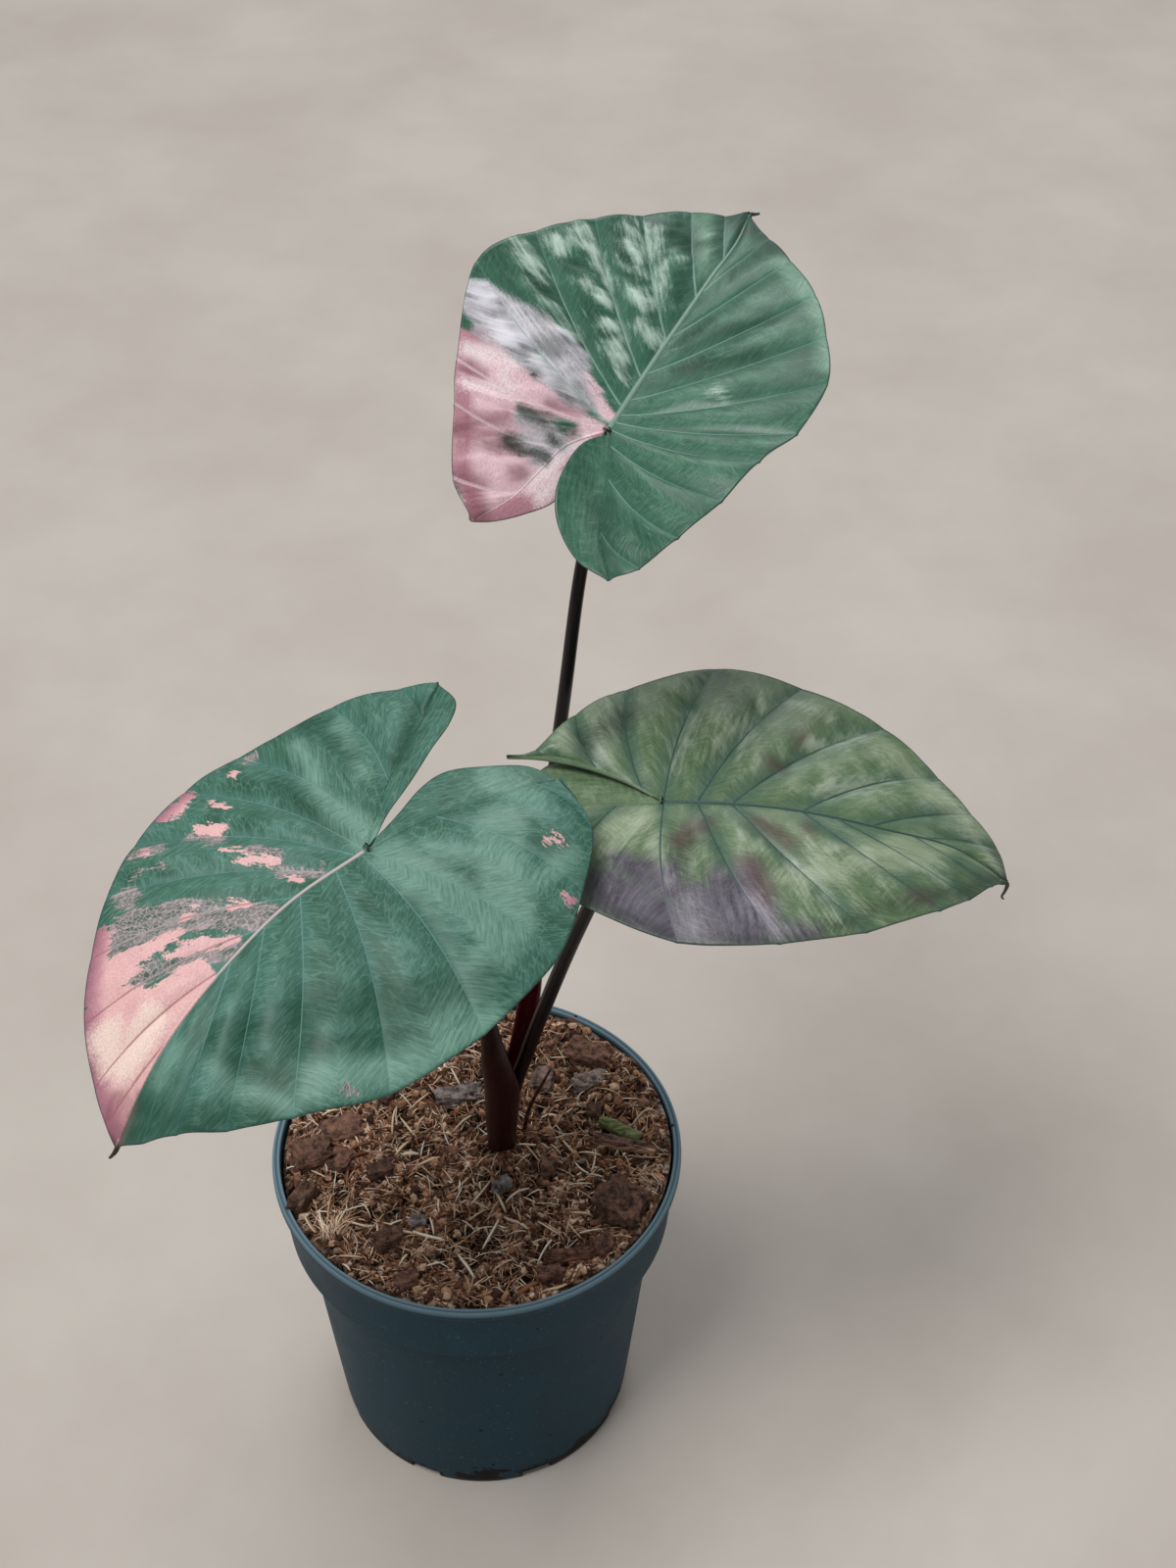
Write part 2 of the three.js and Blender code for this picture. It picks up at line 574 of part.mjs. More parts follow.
function soilSolid() {
  const rings = 12;
  const rimRadius = COLLAR_TOP_RADIUS - WALL - GAP;
  const sector = (2 * Math.PI) / POT_SIDES;
  const wallProfile = [[rimRadius - 0.35, 0], [COLLAR_FOOT_RADIUS - WALL - GAP, STEP_HEIGHT + 3.2],
    [bodyRadius(STEP_HEIGHT) - WALL - GAP, STEP_HEIGHT + 1.2], [bodyRadius(4) - WALL - GAP, 4.6],
    [bodyRadius(4) - WALL - 1.9, 2.6]];
  const points = [[0, 0, soilHeight(0, 0)]];
  const triangles = [];
  const ringPoint = (radius, k, z) => {
    const x = radius * Math.sin(sector * k);
    const y = -radius * Math.cos(sector * k);
    return [x, y, z ?? soilHeight(x, y)];
  };
  const level = [];
  for (let n = 1; n <= rings; n++) level.push([((rimRadius - 0.35) * n) / rings, undefined]);
  wallProfile.slice(1).forEach(([radius, z]) => level.push([radius, z]));
  level.forEach(([radius, z], n) => {
    for (let k = 0; k < POT_SIDES; k++) points.push(ringPoint(radius, k, z));
    for (let k = 0; k < POT_SIDES; k++) {
      const next = (k + 1) % POT_SIDES;
      const outer = 1 + n * POT_SIDES;
      const inner = outer - POT_SIDES;
      if (n === 0) triangles.push([0, outer + k, outer + next]);
      else triangles.push([inner + k, outer + k, outer + next], [inner + k, outer + next, inner + next]);
    }
  });
  const bottom = points.length;
  points.push([0, 0, wallProfile.at(-1)[1]]);
  for (let k = 0; k < POT_SIDES; k++) {
    triangles.push([bottom, bottom - POT_SIDES + ((k + 1) % POT_SIDES), bottom - POT_SIDES + k]);
  }
  const bed = closedSolid(indexedGeometry(points, triangles));

  const random = seeded(41);
  const pieces = chips.map((chip) => chipGeometry(...chip, random));
  for (let n = 0; n < 26; n++) {
    const angle = 2 * Math.PI * random();
    const radius = 59 * Math.sqrt(random());
    const size = mix(3, 6.5, random());
    pieces.push(chipGeometry(radius * Math.cos(angle), radius * Math.sin(angle), size * 1.4, size, size * 0.6,
      360 * random(), random));
  }
  for (let n = 0; n < 40; n++) pieces.push(fibreGeometry(random, 20));
  const hole = new THREE.CylinderGeometry(FOOT.radius, FOOT.radius, 60, 20);
  hole.rotateX(Math.PI / 2);
  hole.translate(FOOT.x, FOOT.y, SOIL_LEVEL - FOOT.depth + 30);
  const [drySheathX, drySheathY] = drySheath[0];
  const slit = new THREE.CylinderGeometry(0.85 + GAP, 0.85 + GAP, 40, 12);
  slit.rotateX(Math.PI / 2);
  slit.translate(drySheathX, drySheathY, drySheath[0][2] - 0.4 + 20);
  const whole = wasm.Manifold.union([bed, ...pieces.map(closedSolid)]);
  return largestBody(whole.subtract(closedSolid(hole)).subtract(closedSolid(slit))).simplify(0.02);
}

function material(color, roughness) {
  return new THREE.MeshStandardMaterial({ color, roughness, metalness: 0 });
}

function piece(name, geometry, look) {
  const mesh = new THREE.Mesh(geometry, look);
  mesh.name = name;
  return mesh;
}

const plant = new THREE.Group();
plant.add(piece("pot", geometryOf(potSolid()), material("#22333a", 0.45)));
plant.add(piece("potting_mix", geometryOf(soilSolid()), material("#5a3a2a", 0.95)));

const stalkColour = material("#2a0f16", 0.4);
for (const [name, leaf] of Object.entries(leaves)) {
  const seat = new THREE.Group();
  seat.position.set(...leaf.junction);
  seat.rotation.set(radians(leaf.roll), radians(-leaf.rise), radians(leaf.heading), "ZYX");
  seat.add(piece(name + "_blade", geometryOf(bladeSolid(leaf)), material("#3f6b55", 0.4)));
  plant.add(seat);
  const normal = new THREE.Vector3(0, 0, 1).applyEuler(seat.rotation);
  const stalk = closedSolid(petioleGeometry(petioles[name], seat.position, normal));
  plant.add(piece(name + "_petiole", geometryOf(stalk), stalkColour));
}
plant.add(piece("dry_sheath", stalkGeometry(drySheath, 6), material("#6b3a26", 0.8)));

export default plant;
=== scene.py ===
"""A young variegated alocasia: three heart-shaped leaves on dark stalks, in a nursery pot of bark mix."""
import math
import bpy
import numpy as np
from mathutils import Matrix, Vector


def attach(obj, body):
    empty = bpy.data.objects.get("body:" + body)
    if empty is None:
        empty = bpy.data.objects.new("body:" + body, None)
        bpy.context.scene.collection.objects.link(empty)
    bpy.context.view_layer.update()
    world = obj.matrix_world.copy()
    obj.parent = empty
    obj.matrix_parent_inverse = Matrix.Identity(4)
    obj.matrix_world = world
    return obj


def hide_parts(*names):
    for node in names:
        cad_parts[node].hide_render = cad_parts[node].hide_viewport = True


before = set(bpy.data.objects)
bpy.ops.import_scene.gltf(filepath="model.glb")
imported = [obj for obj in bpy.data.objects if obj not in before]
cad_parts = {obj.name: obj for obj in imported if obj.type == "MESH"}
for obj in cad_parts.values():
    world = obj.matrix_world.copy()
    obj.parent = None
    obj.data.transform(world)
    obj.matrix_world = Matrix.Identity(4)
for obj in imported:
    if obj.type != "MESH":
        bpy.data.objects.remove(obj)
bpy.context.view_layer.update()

# The view is that of a standing person looking down on the plant from about half a metre in front of
# it, with the lens of a phone held upright.
CAMERA_PLACE = (0.0373, -0.5174, 0.7559)
LOOKING_DOWN = math.radians(41.86)
HAND_ROLL = math.radians(0.31)
camera = bpy.data.objects.new("camera", bpy.data.cameras.new("camera"))
camera.data.lens = 54
camera.data.sensor_width = 36
camera.data.clip_start = 0.01
camera.matrix_world = (Matrix.Translation(CAMERA_PLACE) @ Matrix.Rotation(math.pi / 2 - LOOKING_DOWN, 4, "X")
                       @ Matrix.Rotation(HAND_ROLL, 4, "Z"))
bpy.context.scene.collection.objects.link(camera)
bpy.context.scene.camera = camera

# Plain studio light: a wide soft box high overhead, a little to the front left, a second behind, and dim
# pale walls all round.
for light_name, place, size, power in (
    ("soft_box", (-1.0, -0.9, 3.4), 1.5, 80.0),
    ("back_box", (0.4, 2.4, 2.6), 2.0, 30.0),
):
    lamp = bpy.data.lights.new(light_name, "AREA")
    lamp.size = size
    lamp.energy = power
    lamp_object = bpy.data.objects.new(light_name, lamp)
    aim = Vector((0, 0, 0.25)) - Vector(place)
    lamp_object.matrix_world = Matrix.Translation(place) @ aim.to_track_quat("-Z", "Y").to_matrix().to_4x4()
    bpy.context.scene.collection.objects.link(lamp_object)
walls = bpy.data.worlds.new("pale_walls")
walls.use_nodes = True
walls.node_tree.nodes["Background"].inputs["Color"].default_value = (0.93, 0.96, 1.0, 1)
walls.node_tree.nodes["Background"].inputs["Strength"].default_value = 0.3
bpy.context.scene.world = walls
bpy.context.scene.view_settings.view_transform = "Standard"


# The floor is a plain pale sealed screed, trowelled flat, much wider than the view.
FLOOR_REACH = 4000
FLOOR_DROP = 0.1


def linear(hex_colour):
    """The linear colour, with alpha 1, of an sRGB hex value."""
    parts = [int(hex_colour[i:i + 2], 16) / 255 for i in (1, 3, 5)]
    return tuple(c / 12.92 if c <= 0.04045 else ((c + 0.055) / 1.055) ** 2.4 for c in parts) + (1.0,)


def surface(name, **sockets):
    """A new material and its shader, with values that are the same all over set on the shader's sockets."""
    material = bpy.data.materials.new(name)
    material.use_nodes = True
    shader = material.node_tree.nodes["Principled BSDF"]
    for socket, value in sockets.items():
        shader.inputs[socket.replace("_", " ")].default_value = value
    return material, material.node_tree, shader


def add(tree, kind, inputs=None, out=0, stops=(), **settings):
    """Add a shader node with its settings, its inputs (a value, a link or a hex colour each) and the stops
    of a colour band, and give one of its outputs."""
    node = tree.nodes.new("ShaderNode" + kind)
    for name, value in settings.items():
        setattr(node, name, value)
    for key, value in (inputs or {}).items():
        if isinstance(value, bpy.types.NodeSocket):
            tree.links.new(value, node.inputs[key])
        else:
            node.inputs[key].default_value = linear(value) if isinstance(value, str) else value
    for n, (place, hex_colour) in enumerate(stops):
        band = node.color_ramp.elements
        stop = band[n] if n < 2 else band.new(place)
        stop.position = place
        stop.color = linear(hex_colour)
    return node.outputs[out]


def wire(tree, shader, **links):
    """Link outputs of nodes to the shader's sockets."""
    for socket, value in links.items():
        tree.links.new(value, shader.inputs[socket.replace("_", " ")])


def mesh_piece(name, points, faces, material, smooth=True, values=None, maps=None):
    """A mesh object of points in millimetres and arrays of faces, with point values and UV maps by name."""
    mesh = bpy.data.meshes.new(name)
    corners = np.concatenate([f.ravel() for f in faces])
    sizes = np.concatenate([np.full(len(f), f.shape[1]) for f in faces])
    mesh.vertices.add(len(points))
    mesh.vertices.foreach_set("co", (points * 0.001).astype(np.float32).ravel())
    mesh.loops.add(len(corners))
    mesh.loops.foreach_set("vertex_index", corners.astype(np.int32))
    mesh.polygons.add(len(sizes))
    mesh.polygons.foreach_set("loop_start", np.concatenate([[0], np.cumsum(sizes)[:-1]]).astype(np.int32))
    mesh.update(calc_edges=True)
    mesh.polygons.foreach_set("use_smooth", np.full(len(sizes), smooth))
    for key, value in (values or {}).items():
        mesh.attributes.new(key, "FLOAT", "POINT").data.foreach_set("value", value.astype(np.float32))
    for key, value in (maps or {}).items():
        mesh.uv_layers.new(name=key).data.foreach_set("uv", value[corners].astype(np.float32).ravel())
    mesh.materials.append(material)
    piece = bpy.data.objects.new(name, mesh)
    bpy.context.scene.collection.objects.link(piece)
    return piece


def grid_faces(rows, columns, closed=False):
    """Four-sided faces between a grid's rows, each row closed on itself if asked."""
    i = np.arange(rows - 1)[:, None] * columns
    j = np.arange(columns if closed else columns - 1)[None, :]
    after = (j + 1) % columns
    return np.stack([i + j, i + after, i + columns + after, i + columns + j], -1).reshape(-1, 4)


screed, tree, shader = surface("sealed_pale_screed", Roughness=0.62)
place = add(tree, "TexCoord", out=3)
cloud = add(tree, "TexNoise", {"Vector": place, "Scale": 7, "Detail": 5, "Roughness": 0.6})
trowelled = add(tree, "ValToRGB", {0: cloud}, stops=((0.35, "#bdb3a9"), (0.65, "#c8bfb5")))
wire(tree, shader, Base_Color=trowelled)
floor_points = np.array([[-1, -1, 0], [1, -1, 0], [1, 1, 0], [-1, 1, 0]]) * FLOOR_REACH - [0, 0, FLOOR_DROP]
floor = mesh_piece("floor", floor_points, [np.array([[0, 1, 2, 3]])], screed)


# The pot is a round tapered nursery pot of recycled polypropylene, injection moulded in one piece, with
# a wide collar, a lip of two rolled beads and drainage slots cut through the edge of its foot.
POT_HEIGHT = 126
RIM_RADIUS = 70
BASE_RADIUS = 52.7
BODY_TOP_RADIUS = 61.4
STEP_HEIGHT = 96
COLLAR_FOOT_RADIUS = 66.4
COLLAR_TOP_RADIUS = 68.4
WALL = 1.3
POT_SIDES = 224
SLOTS = 8
SLOT_SIZE = (9, 11, 5.2)


def body_radius(z):
    """Outer radius of the tapered body: it widens evenly from the foot to the step."""
    return BASE_RADIUS + (BODY_TOP_RADIUS - BASE_RADIUS) * z / STEP_HEIGHT


def rounded(profile, times):
    """A profile with its corners cut again and again, a quarter in from both ends of each side."""
    for _ in range(times):
        here, after = profile[:-1], profile[1:]
        cut = np.stack([here * 0.75 + after * 0.25, here * 0.25 + after * 0.75], 1).reshape(-1, 2)
        profile = np.concatenate([profile[:1], cut, profile[-1:]])
    return profile


def spun(points, angle):
    """Points turned about the upright axis, by one angle or by an angle for each."""
    x, y, z = np.moveaxis(points, -1, 0)
    cos, sin = np.cos(angle), np.sin(angle)
    return np.stack([x * cos - y * sin, x * sin + y * cos, z + 0 * cos], -1)


def facing_out(points, faces):
    """The faces, turned over if the volume that they enclose comes out negative."""
    corner = points[faces]
    volume = np.einsum("ij,ij->", corner[:, 0], np.cross(corner[:, 1], corner[:, 2]))
    if faces.shape[1] == 4:
        volume += np.einsum("ij,ij->", corner[:, 0], np.cross(corner[:, 2], corner[:, 3]))
    return faces if volume > 0 else faces[:, ::-1]


# Places down the outside of the moulding from the middle of its floor, over the beads and down inside,
# each a radius and a height.
inner_foot = COLLAR_FOOT_RADIUS - WALL
step = STEP_HEIGHT
lip = POT_HEIGHT
outline = np.array([
    (0.01, 0), (30, 0), (50.8, 0), (BASE_RADIUS - 0.6, 0.3), (BASE_RADIUS, 1.2), (body_radius(30), 30),
    (body_radius(60), 60), (body_radius(step - 1.6), step - 1.6), (BODY_TOP_RADIUS + 0.2, step - 0.4),
    (BODY_TOP_RADIUS + 1.4, step + 0.7), (COLLAR_FOOT_RADIUS - 1, step + 1.2),
    (COLLAR_FOOT_RADIUS, step + 1.9), (COLLAR_FOOT_RADIUS + 0.1, step + 3),
    (COLLAR_TOP_RADIUS - 0.1, lip - 4.6), (COLLAR_TOP_RADIUS + 0.5, lip - 3.9),
    (RIM_RADIUS - 0.5, lip - 3.9), (RIM_RADIUS, lip - 3.2), (RIM_RADIUS, lip - 0.7),
    (RIM_RADIUS - 0.5, lip + 0.05), (RIM_RADIUS - 1, lip), (RIM_RADIUS - 1.3, lip - 0.9),
    (RIM_RADIUS - 1.7, lip - 0.1), (RIM_RADIUS - 2.2, lip + 0.1), (RIM_RADIUS - 2.7, lip - 0.3),
    (COLLAR_TOP_RADIUS - WALL, lip - 3.5), (inner_foot, step + 4), (inner_foot - 1, step + 2.4),
    (BODY_TOP_RADIUS - WALL, step + 0.6), (body_radius(40) - WALL, 40), (body_radius(5) - WALL, 5),
    (body_radius(3) - WALL - 1, 2.6), (40, 2.2), (0.01, 2.2),
])
profile = rounded(outline, 2)
turn = np.linspace(0, 2 * np.pi, POT_SIDES, endpoint=False)
radius = profile[:, :1] * (0.9992 + 0.00072 * np.sin(2 * turn + 1) + 0.00036 * np.sin(5 * turn))
pot_points = np.stack([radius * np.cos(turn), radius * np.sin(turn), profile[:, 1:] + 0 * turn], -1)
pot_faces = facing_out(pot_points.reshape(-1, 3), grid_faces(len(profile), POT_SIDES, closed=True))
first = np.arange(POT_SIDES)
last = first + (len(profile) - 1) * POT_SIDES
pole_ends = np.array([[0, 0, profile[0, 1]], [0, 0, profile[-1, 1]]])
pot_points = np.concatenate([pot_points.reshape(-1, 3), pole_ends])
under = len(pot_points) - 2
fan_under = np.stack([np.full(POT_SIDES, under), np.roll(first, -1), first], -1)
fan_inside = np.stack([np.full(POT_SIDES, under + 1), last, np.roll(last, -1)], -1)

# Recycled polypropylene from a worn mould: a dull satin slate, clouded where the melt flowed, with a painted
# highlight on the beads, painted shade in the angle under the step, and dust, specks and dirt at the foot.
EASED = {"interpolation_type": "SMOOTHSTEP"}
plastic, tree, shader = surface("recycled_polypropylene_moulded", IOR=1.45, Specular_IOR_Level=0.12)
place = add(tree, "TexCoord", out=3)
heights = add(tree, "SeparateXYZ", {0: place}, out=2)
flow = add(tree, "TexNoise", {"Vector": place, "Scale": 38, "Detail": 6, "Roughness": 0.62,
                               "Distortion": 0.8})
grit = add(tree, "TexNoise", {"Vector": place, "Scale": 900, "Detail": 3})
# Painted highlight: the top of the lip, over both beads, is made paler where the light catches it.
bead_highlight = add(tree, "MapRange", {0: heights, 1: 0.1236, 2: 0.1262, 4: 0.75}, **EASED)
dusty = add(tree, "MapRange", {0: grit, 1: 0.64, 2: 0.78, 4: 0.35})
# The paler share: dust specks and the painted highlight on the beads.
dust_and_bead_highlight = add(tree, "Math", {0: bead_highlight, 1: dusty}, operation="MAXIMUM")
# Painted shade: a dark band on the underside of the step, where the light does not reach.
step_shade = add(tree, "MapRange", {0: heights, 1: 0.09, 2: 0.104})
step_shade = add(tree, "ValToRGB", {0: step_shade}, stops=(
    (0.0, "#ffffff"), (0.34, "#f0f0f0"), (0.44, "#606060"), (0.53, "#707070"), (0.6, "#ffffff")))
foot = add(tree, "MapRange", {0: heights, 1: 0.015, 2: 0, 4: 0.33})
grime = add(tree, "TexNoise", {"Vector": place, "Scale": 60, "Detail": 6, "Roughness": 0.7})
grime = add(tree, "Math", {0: grime, 1: foot})
grimy = add(tree, "MapRange", {0: grime, 1: 0.71, 2: 0.76}, **EASED)
speck = add(tree, "TexVoronoi", {"Vector": place, "Scale": 95})
speckled = add(tree, "MapRange", {0: speck, 1: 0.075, 2: 0.05})
slate = add(tree, "ValToRGB", {0: flow}, stops=((0.3, "#173541"), (0.55, "#1b3b48"), (0.75, "#22434f")))
for share, laid_on, how in (
    (dust_and_bead_highlight, "#7f98a4", "MIX"), (1, step_shade, "MULTIPLY"), (grimy, "#0a0c0a", "MIX"),
    (speckled, "#0a0e10", "MIX"),
):
    slate = add(tree, "Mix", {0: share, 6: slate, 7: laid_on}, out=2, data_type="RGBA", blend_type=how)
rough = add(tree, "MapRange", {0: flow, 1: 0.3, 2: 0.7, 3: 0.42, 4: 0.56})
skin = add(tree, "Bump", {"Height": grit, "Strength": 0.12, "Distance": 0.0003})
wire(tree, shader, Base_Color=slate, Roughness=rough, Normal=skin)

pot = mesh_piece("pot_moulding", pot_points, [pot_faces, fan_under, fan_inside], plastic)
cube = np.array([[x, y, z] for z in (-1, 1) for y in (-1, 1) for x in (-1, 1)]) / 2
cube_faces = np.array([[0, 2, 3, 1], [4, 5, 7, 6], [0, 1, 5, 4], [2, 6, 7, 3], [0, 4, 6, 2], [1, 3, 7, 5]])
slot = cube * SLOT_SIZE + [BASE_RADIUS - 1.5, 0, 1.2]
angles = 2 * np.pi * (np.arange(SLOTS) + 0.5) / SLOTS
slots = spun(slot, angles[:, None])
slot_faces = (cube_faces[None] + 8 * np.arange(SLOTS)[:, None, None]).reshape(-1, 4)
cutter = mesh_piece("slot_cutter", slots.reshape(-1, 3), [slot_faces], plastic, smooth=False)
cut = pot.modifiers.new("slots", "BOOLEAN")
cut.operation = "DIFFERENCE"
cut.object = cutter
cut.solver = "EXACT"
bpy.context.view_layer.update()
whole = bpy.data.meshes.new_from_object(pot.evaluated_get(bpy.context.evaluated_depsgraph_get()))
pot.modifiers.clear()
pot.data = whole
pot.data.set_sharp_from_angle(angle=math.radians(38))
bpy.data.objects.remove(cutter)
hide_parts("pot")
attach(pot, "root")


# The potting mix is coir crumb and bark fines, poured in and settled by watering, so its face is a loose
# bed of crumbs with dark gaps. It fills the pot to its floor.
SOIL_LEVEL = 121.5
BED_RADIUS = 66.4
BED_RINGS = 170
BED_SPOKES = 520
# Each swell of the bed, the mound round the stems and the hollow beside them: its middle across and back,
# its height, and the square of its spread.
SWELLS = ((8.2, 1.9, 2.2, 150), (-4, 5, -3.4, 40))
BANK = 1.7
BANK_SPREAD = 7
MORE_AT_RIGHT = 1
BED_SLOPE = 0.014
SOIL_WAVES = ((0.11, 0.05, 0.4, 0.9), (-0.07, 0.13, 1.9, 0.8), (0.19, -0.16, 4.2, 0.55),
              (0.27, 0.21, 2.6, 0.45), (-0.31, 0.34, 5.5, 0.4))
CRUMB_CELLS = ((9.0, 2.4), (3.6, 1.5), (1.4, 0.6))
BURIED_WALL = ((64.7, STEP_HEIGHT + 3.2), (59.7, STEP_HEIGHT + 1.2), (51.4, 4.6), (49.6, 2.6))


def lattice_noise(u, v, seed):
    """Smooth noise from -1 to 1: seeded values at the whole numbers of u and v, eased in between."""
    table = np.random.default_rng(seed).uniform(-1, 1, (256, 256))
    iu = np.floor(u).astype(int)
    iv = np.floor(v).astype(int)
    fu = u - iu
    fv = v - iv
    fu = fu * fu * (3 - 2 * fu)
    fv = fv * fv * (3 - 2 * fv)
    low = table[iu % 256, iv % 256] * (1 - fu) + table[(iu + 1) % 256, iv % 256] * fu
    high = table[iu % 256, (iv + 1) % 256] * (1 - fu) + table[(iu + 1) % 256, (iv + 1) % 256] * fu
    return low * (1 - fv) + high * fv


def soil_height(x, y):
    """Height of the mix: a level bed with five low waves, a mound round the stems, a hollow beside them and
    a bank along the wall, highest at the right."""
    waves = sum(high * np.sin(kx * x + ky * y + phase) for kx, ky, phase, high in SOIL_WAVES)
    swells = sum(high * np.exp(-((x - mx) ** 2 + (y - my) ** 2) / spread) for mx, my, high, spread in SWELLS)
    wall_share = np.exp(-((np.hypot(x, y) - 66) / BANK_SPREAD) ** 2)
    bank = wall_share * (BANK + MORE_AT_RIGHT * np.clip((x + 0.2 * y) / 66, 0, 1))
    return SOIL_LEVEL + waves + swells + BED_SLOPE * x + bank


def crumb_relief(x, y):
    """Relief of the loose crumbs: three sizes of rounded lumps with creases between, from folded noise."""
    total = np.zeros_like(x)
    for n, (cell, high) in enumerate(CRUMB_CELLS):
        folded = np.abs(lattice_noise(x / cell + 7 * n, y / cell - 5 * n, 11 + n))
        total = total + high * (0.36 - np.abs(folded - 0.36) * 1.6)
    return total


def bed_height(x, y):
    """Height of the bed with its crumbs, which die out over the last 2 mm before the wall."""
    near_wall = np.clip((BED_RADIUS - np.hypot(x, y)) / 2, 0, 1)
    return soil_height(x, y) + crumb_relief(x, y) * near_wall


spoke = np.linspace(0, 2 * np.pi, BED_SPOKES, endpoint=False)
ring = BED_RADIUS * np.arange(1, BED_RINGS + 1)[:, None] / BED_RINGS
bed_x = ring * np.cos(spoke)
bed_y = ring * np.sin(spoke)
wall_radius, wall_z = np.array(BURIED_WALL).T[:, :, None]
wall = [wall_radius * np.cos(spoke), wall_radius * np.sin(spoke), wall_z * np.ones_like(spoke)]
bed_grid = np.concatenate([np.stack([bed_x, bed_y, bed_height(bed_x, bed_y)], -1), np.stack(wall, -1)])
bed_middle = bed_height(np.zeros(1), np.zeros(1))[0]
bed_points = np.concatenate([bed_grid.reshape(-1, 3), [[0, 0, bed_middle], [0, 0, BURIED_WALL[-1][1]]]])
bed_first = np.arange(BED_SPOKES)
bed_last = bed_first + (len(bed_grid) - 1) * BED_SPOKES
top_pole = len(bed_points) - 2
bed_faces = [
    grid_faces(len(bed_grid), BED_SPOKES, closed=True)[:, ::-1],
    np.stack([np.full(BED_SPOKES, top_pole), bed_first, np.roll(bed_first, -1)], -1),
    np.stack([np.full(BED_SPOKES, top_pole + 1), np.roll(bed_last, -1), bed_last], -1),
]
bed_depth = np.clip((bed_points[:, 2] - soil_height(bed_points[:, 0], bed_points[:, 1])) / 2.4, -1, 1)

# Coir crumb and bark fines, milled and composted: each crumb has its own brown, the gaps between crumbs are
# painted nearly black as shade, and nothing shines.
mix, tree, shader = surface("coir_and_bark_fines", Roughness=0.92, Specular_IOR_Level=0.25)
place = add(tree, "TexCoord", out=3)
lumps = add(tree, "TexVoronoi", {"Vector": place, "Scale": 620}, out=1)
lump_tone = add(tree, "SeparateColor", {0: lumps})
shade = add(tree, "TexNoise", {"Vector": place, "Scale": 210, "Detail": 6, "Roughness": 0.7})
tone = add(tree, "Mix", {0: 0.5, 2: lump_tone, 3: shade})
brown = add(tree, "ValToRGB", {0: tone}, stops=(
    (0.26, "#40271b"), (0.4, "#8e6049"), (0.54, "#c89a7e"), (0.74, "#fbe2c8")))
depth = add(tree, "Attribute", out=2, attribute_name="depth")
# Painted shade: the bed is darkened nearly to black where it lies below the settled face, in the gaps.
gap_shade = add(tree, "MapRange", {0: depth, 1: -0.2, 2: 0.48, 3: 0.02, 4: 1})
brown = add(tree, "Mix", {0: gap_shade, 6: "#0e0806", 7: brown}, out=2, data_type="RGBA")
damp = add(tree, "TexNoise", {"Vector": place, "Scale": 70, "Detail": 3})
damp = add(tree, "MapRange", {0: damp, 1: 0.38, 2: 0.6, 3: 0.5, 4: 1.15})
brown = add(tree, "VectorMath", {0: brown, 3: damp}, operation="SCALE")
grain = add(tree, "TexNoise", {"Vector": place, "Scale": 1400, "Detail": 4})
coarse = add(tree, "Bump", {"Height": grain, "Strength": 0.8, "Distance": 0.0006})
wire(tree, shader, Base_Color=brown, Normal=coarse)

bed = mesh_piece("mix_bed", bed_points, bed_faces, mix, values={"depth": bed_depth})
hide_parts("potting_mix")
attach(bed, "root")


# Crumbs are loose bits of coir and bark, from 1 to 4 mm across, and chips are broken bark up to 20 mm
# long. They lie where they fell when the pot was filled.
CRUMBS = 3000
# Each chip: place across and back, length, width, height, turn in degrees, and tone from dark to pale.
CHIPS = (
    (-56.5, -3, 13, 11, 5.5, 20, 0.55), (38.5, 43, 15, 9, 4, -15, 0.7), (-7, 25.5, 15, 7, 2.4, 10, 0.9),
    (50, -25, 17, 15, 7, 60, 0.35), (43, -42, 7, 6, 4, 20, 0.6), (26, -52, 8, 5, 4, 12, 0.6),
    (51, 2.5, 21, 3.2, 3.2, -18, 0.75), (-28, -38, 9, 6, 4, 40, 0.3), (22, 33, 10, 7, 3, 70, 0.8),
    (-35, 26, 9, 6, 3, -40, 0.5), (-48, 9, 13, 9, 2.4, 15, 0.62), (-47, -4, 8, 7, 2, 70, 0.58),
    (-33, -9, 8, 5, 3.5, 15, 0.3), (-19, -30, 5, 5, 2.6, 0, 0.95), (-21, -56, 7, 6, 3, 30, 0.55),
    (24, -8, 4.5, 4.5, 3.6, 0, 0.72), (9, -16, 6, 5, 2.6, 40, 0.95), (33, -45, 16, 3.4, 3, 9, 0.5),
    (40, 17, 6, 5, 3, 80, 0.25), (38, 31, 11, 6, 2.6, 20, 0.85), (-58, -22, 12, 5, 4, 65, 0.3),
)
# The power that turns the waves of a ball into those of a block: 1 is round, 0 is square.
SQUARENESS = 0.42
golden = (1 + math.sqrt(5)) / 2
BALL = np.array([(-1, golden, 0), (1, golden, 0), (-1, -golden, 0), (1, -golden, 0), (0, -1, golden),
                 (0, 1, golden), (0, -1, -golden), (0, 1, -golden), (golden, 0, -1), (golden, 0, 1),
                 (-golden, 0, -1), (-golden, 0, 1)]) / math.hypot(1, golden)
BALL_FACES = np.array([(0, 11, 5), (0, 5, 1), (0, 1, 7), (0, 7, 10), (0, 10, 11), (1, 5, 9), (5, 11, 4),
                       (11, 10, 2), (10, 7, 6), (7, 1, 8), (3, 9, 4), (3, 4, 2), (3, 2, 6), (3, 6, 8),
                       (3, 8, 9), (4, 9, 5), (2, 4, 11), (6, 2, 10), (8, 6, 7), (9, 8, 1)])


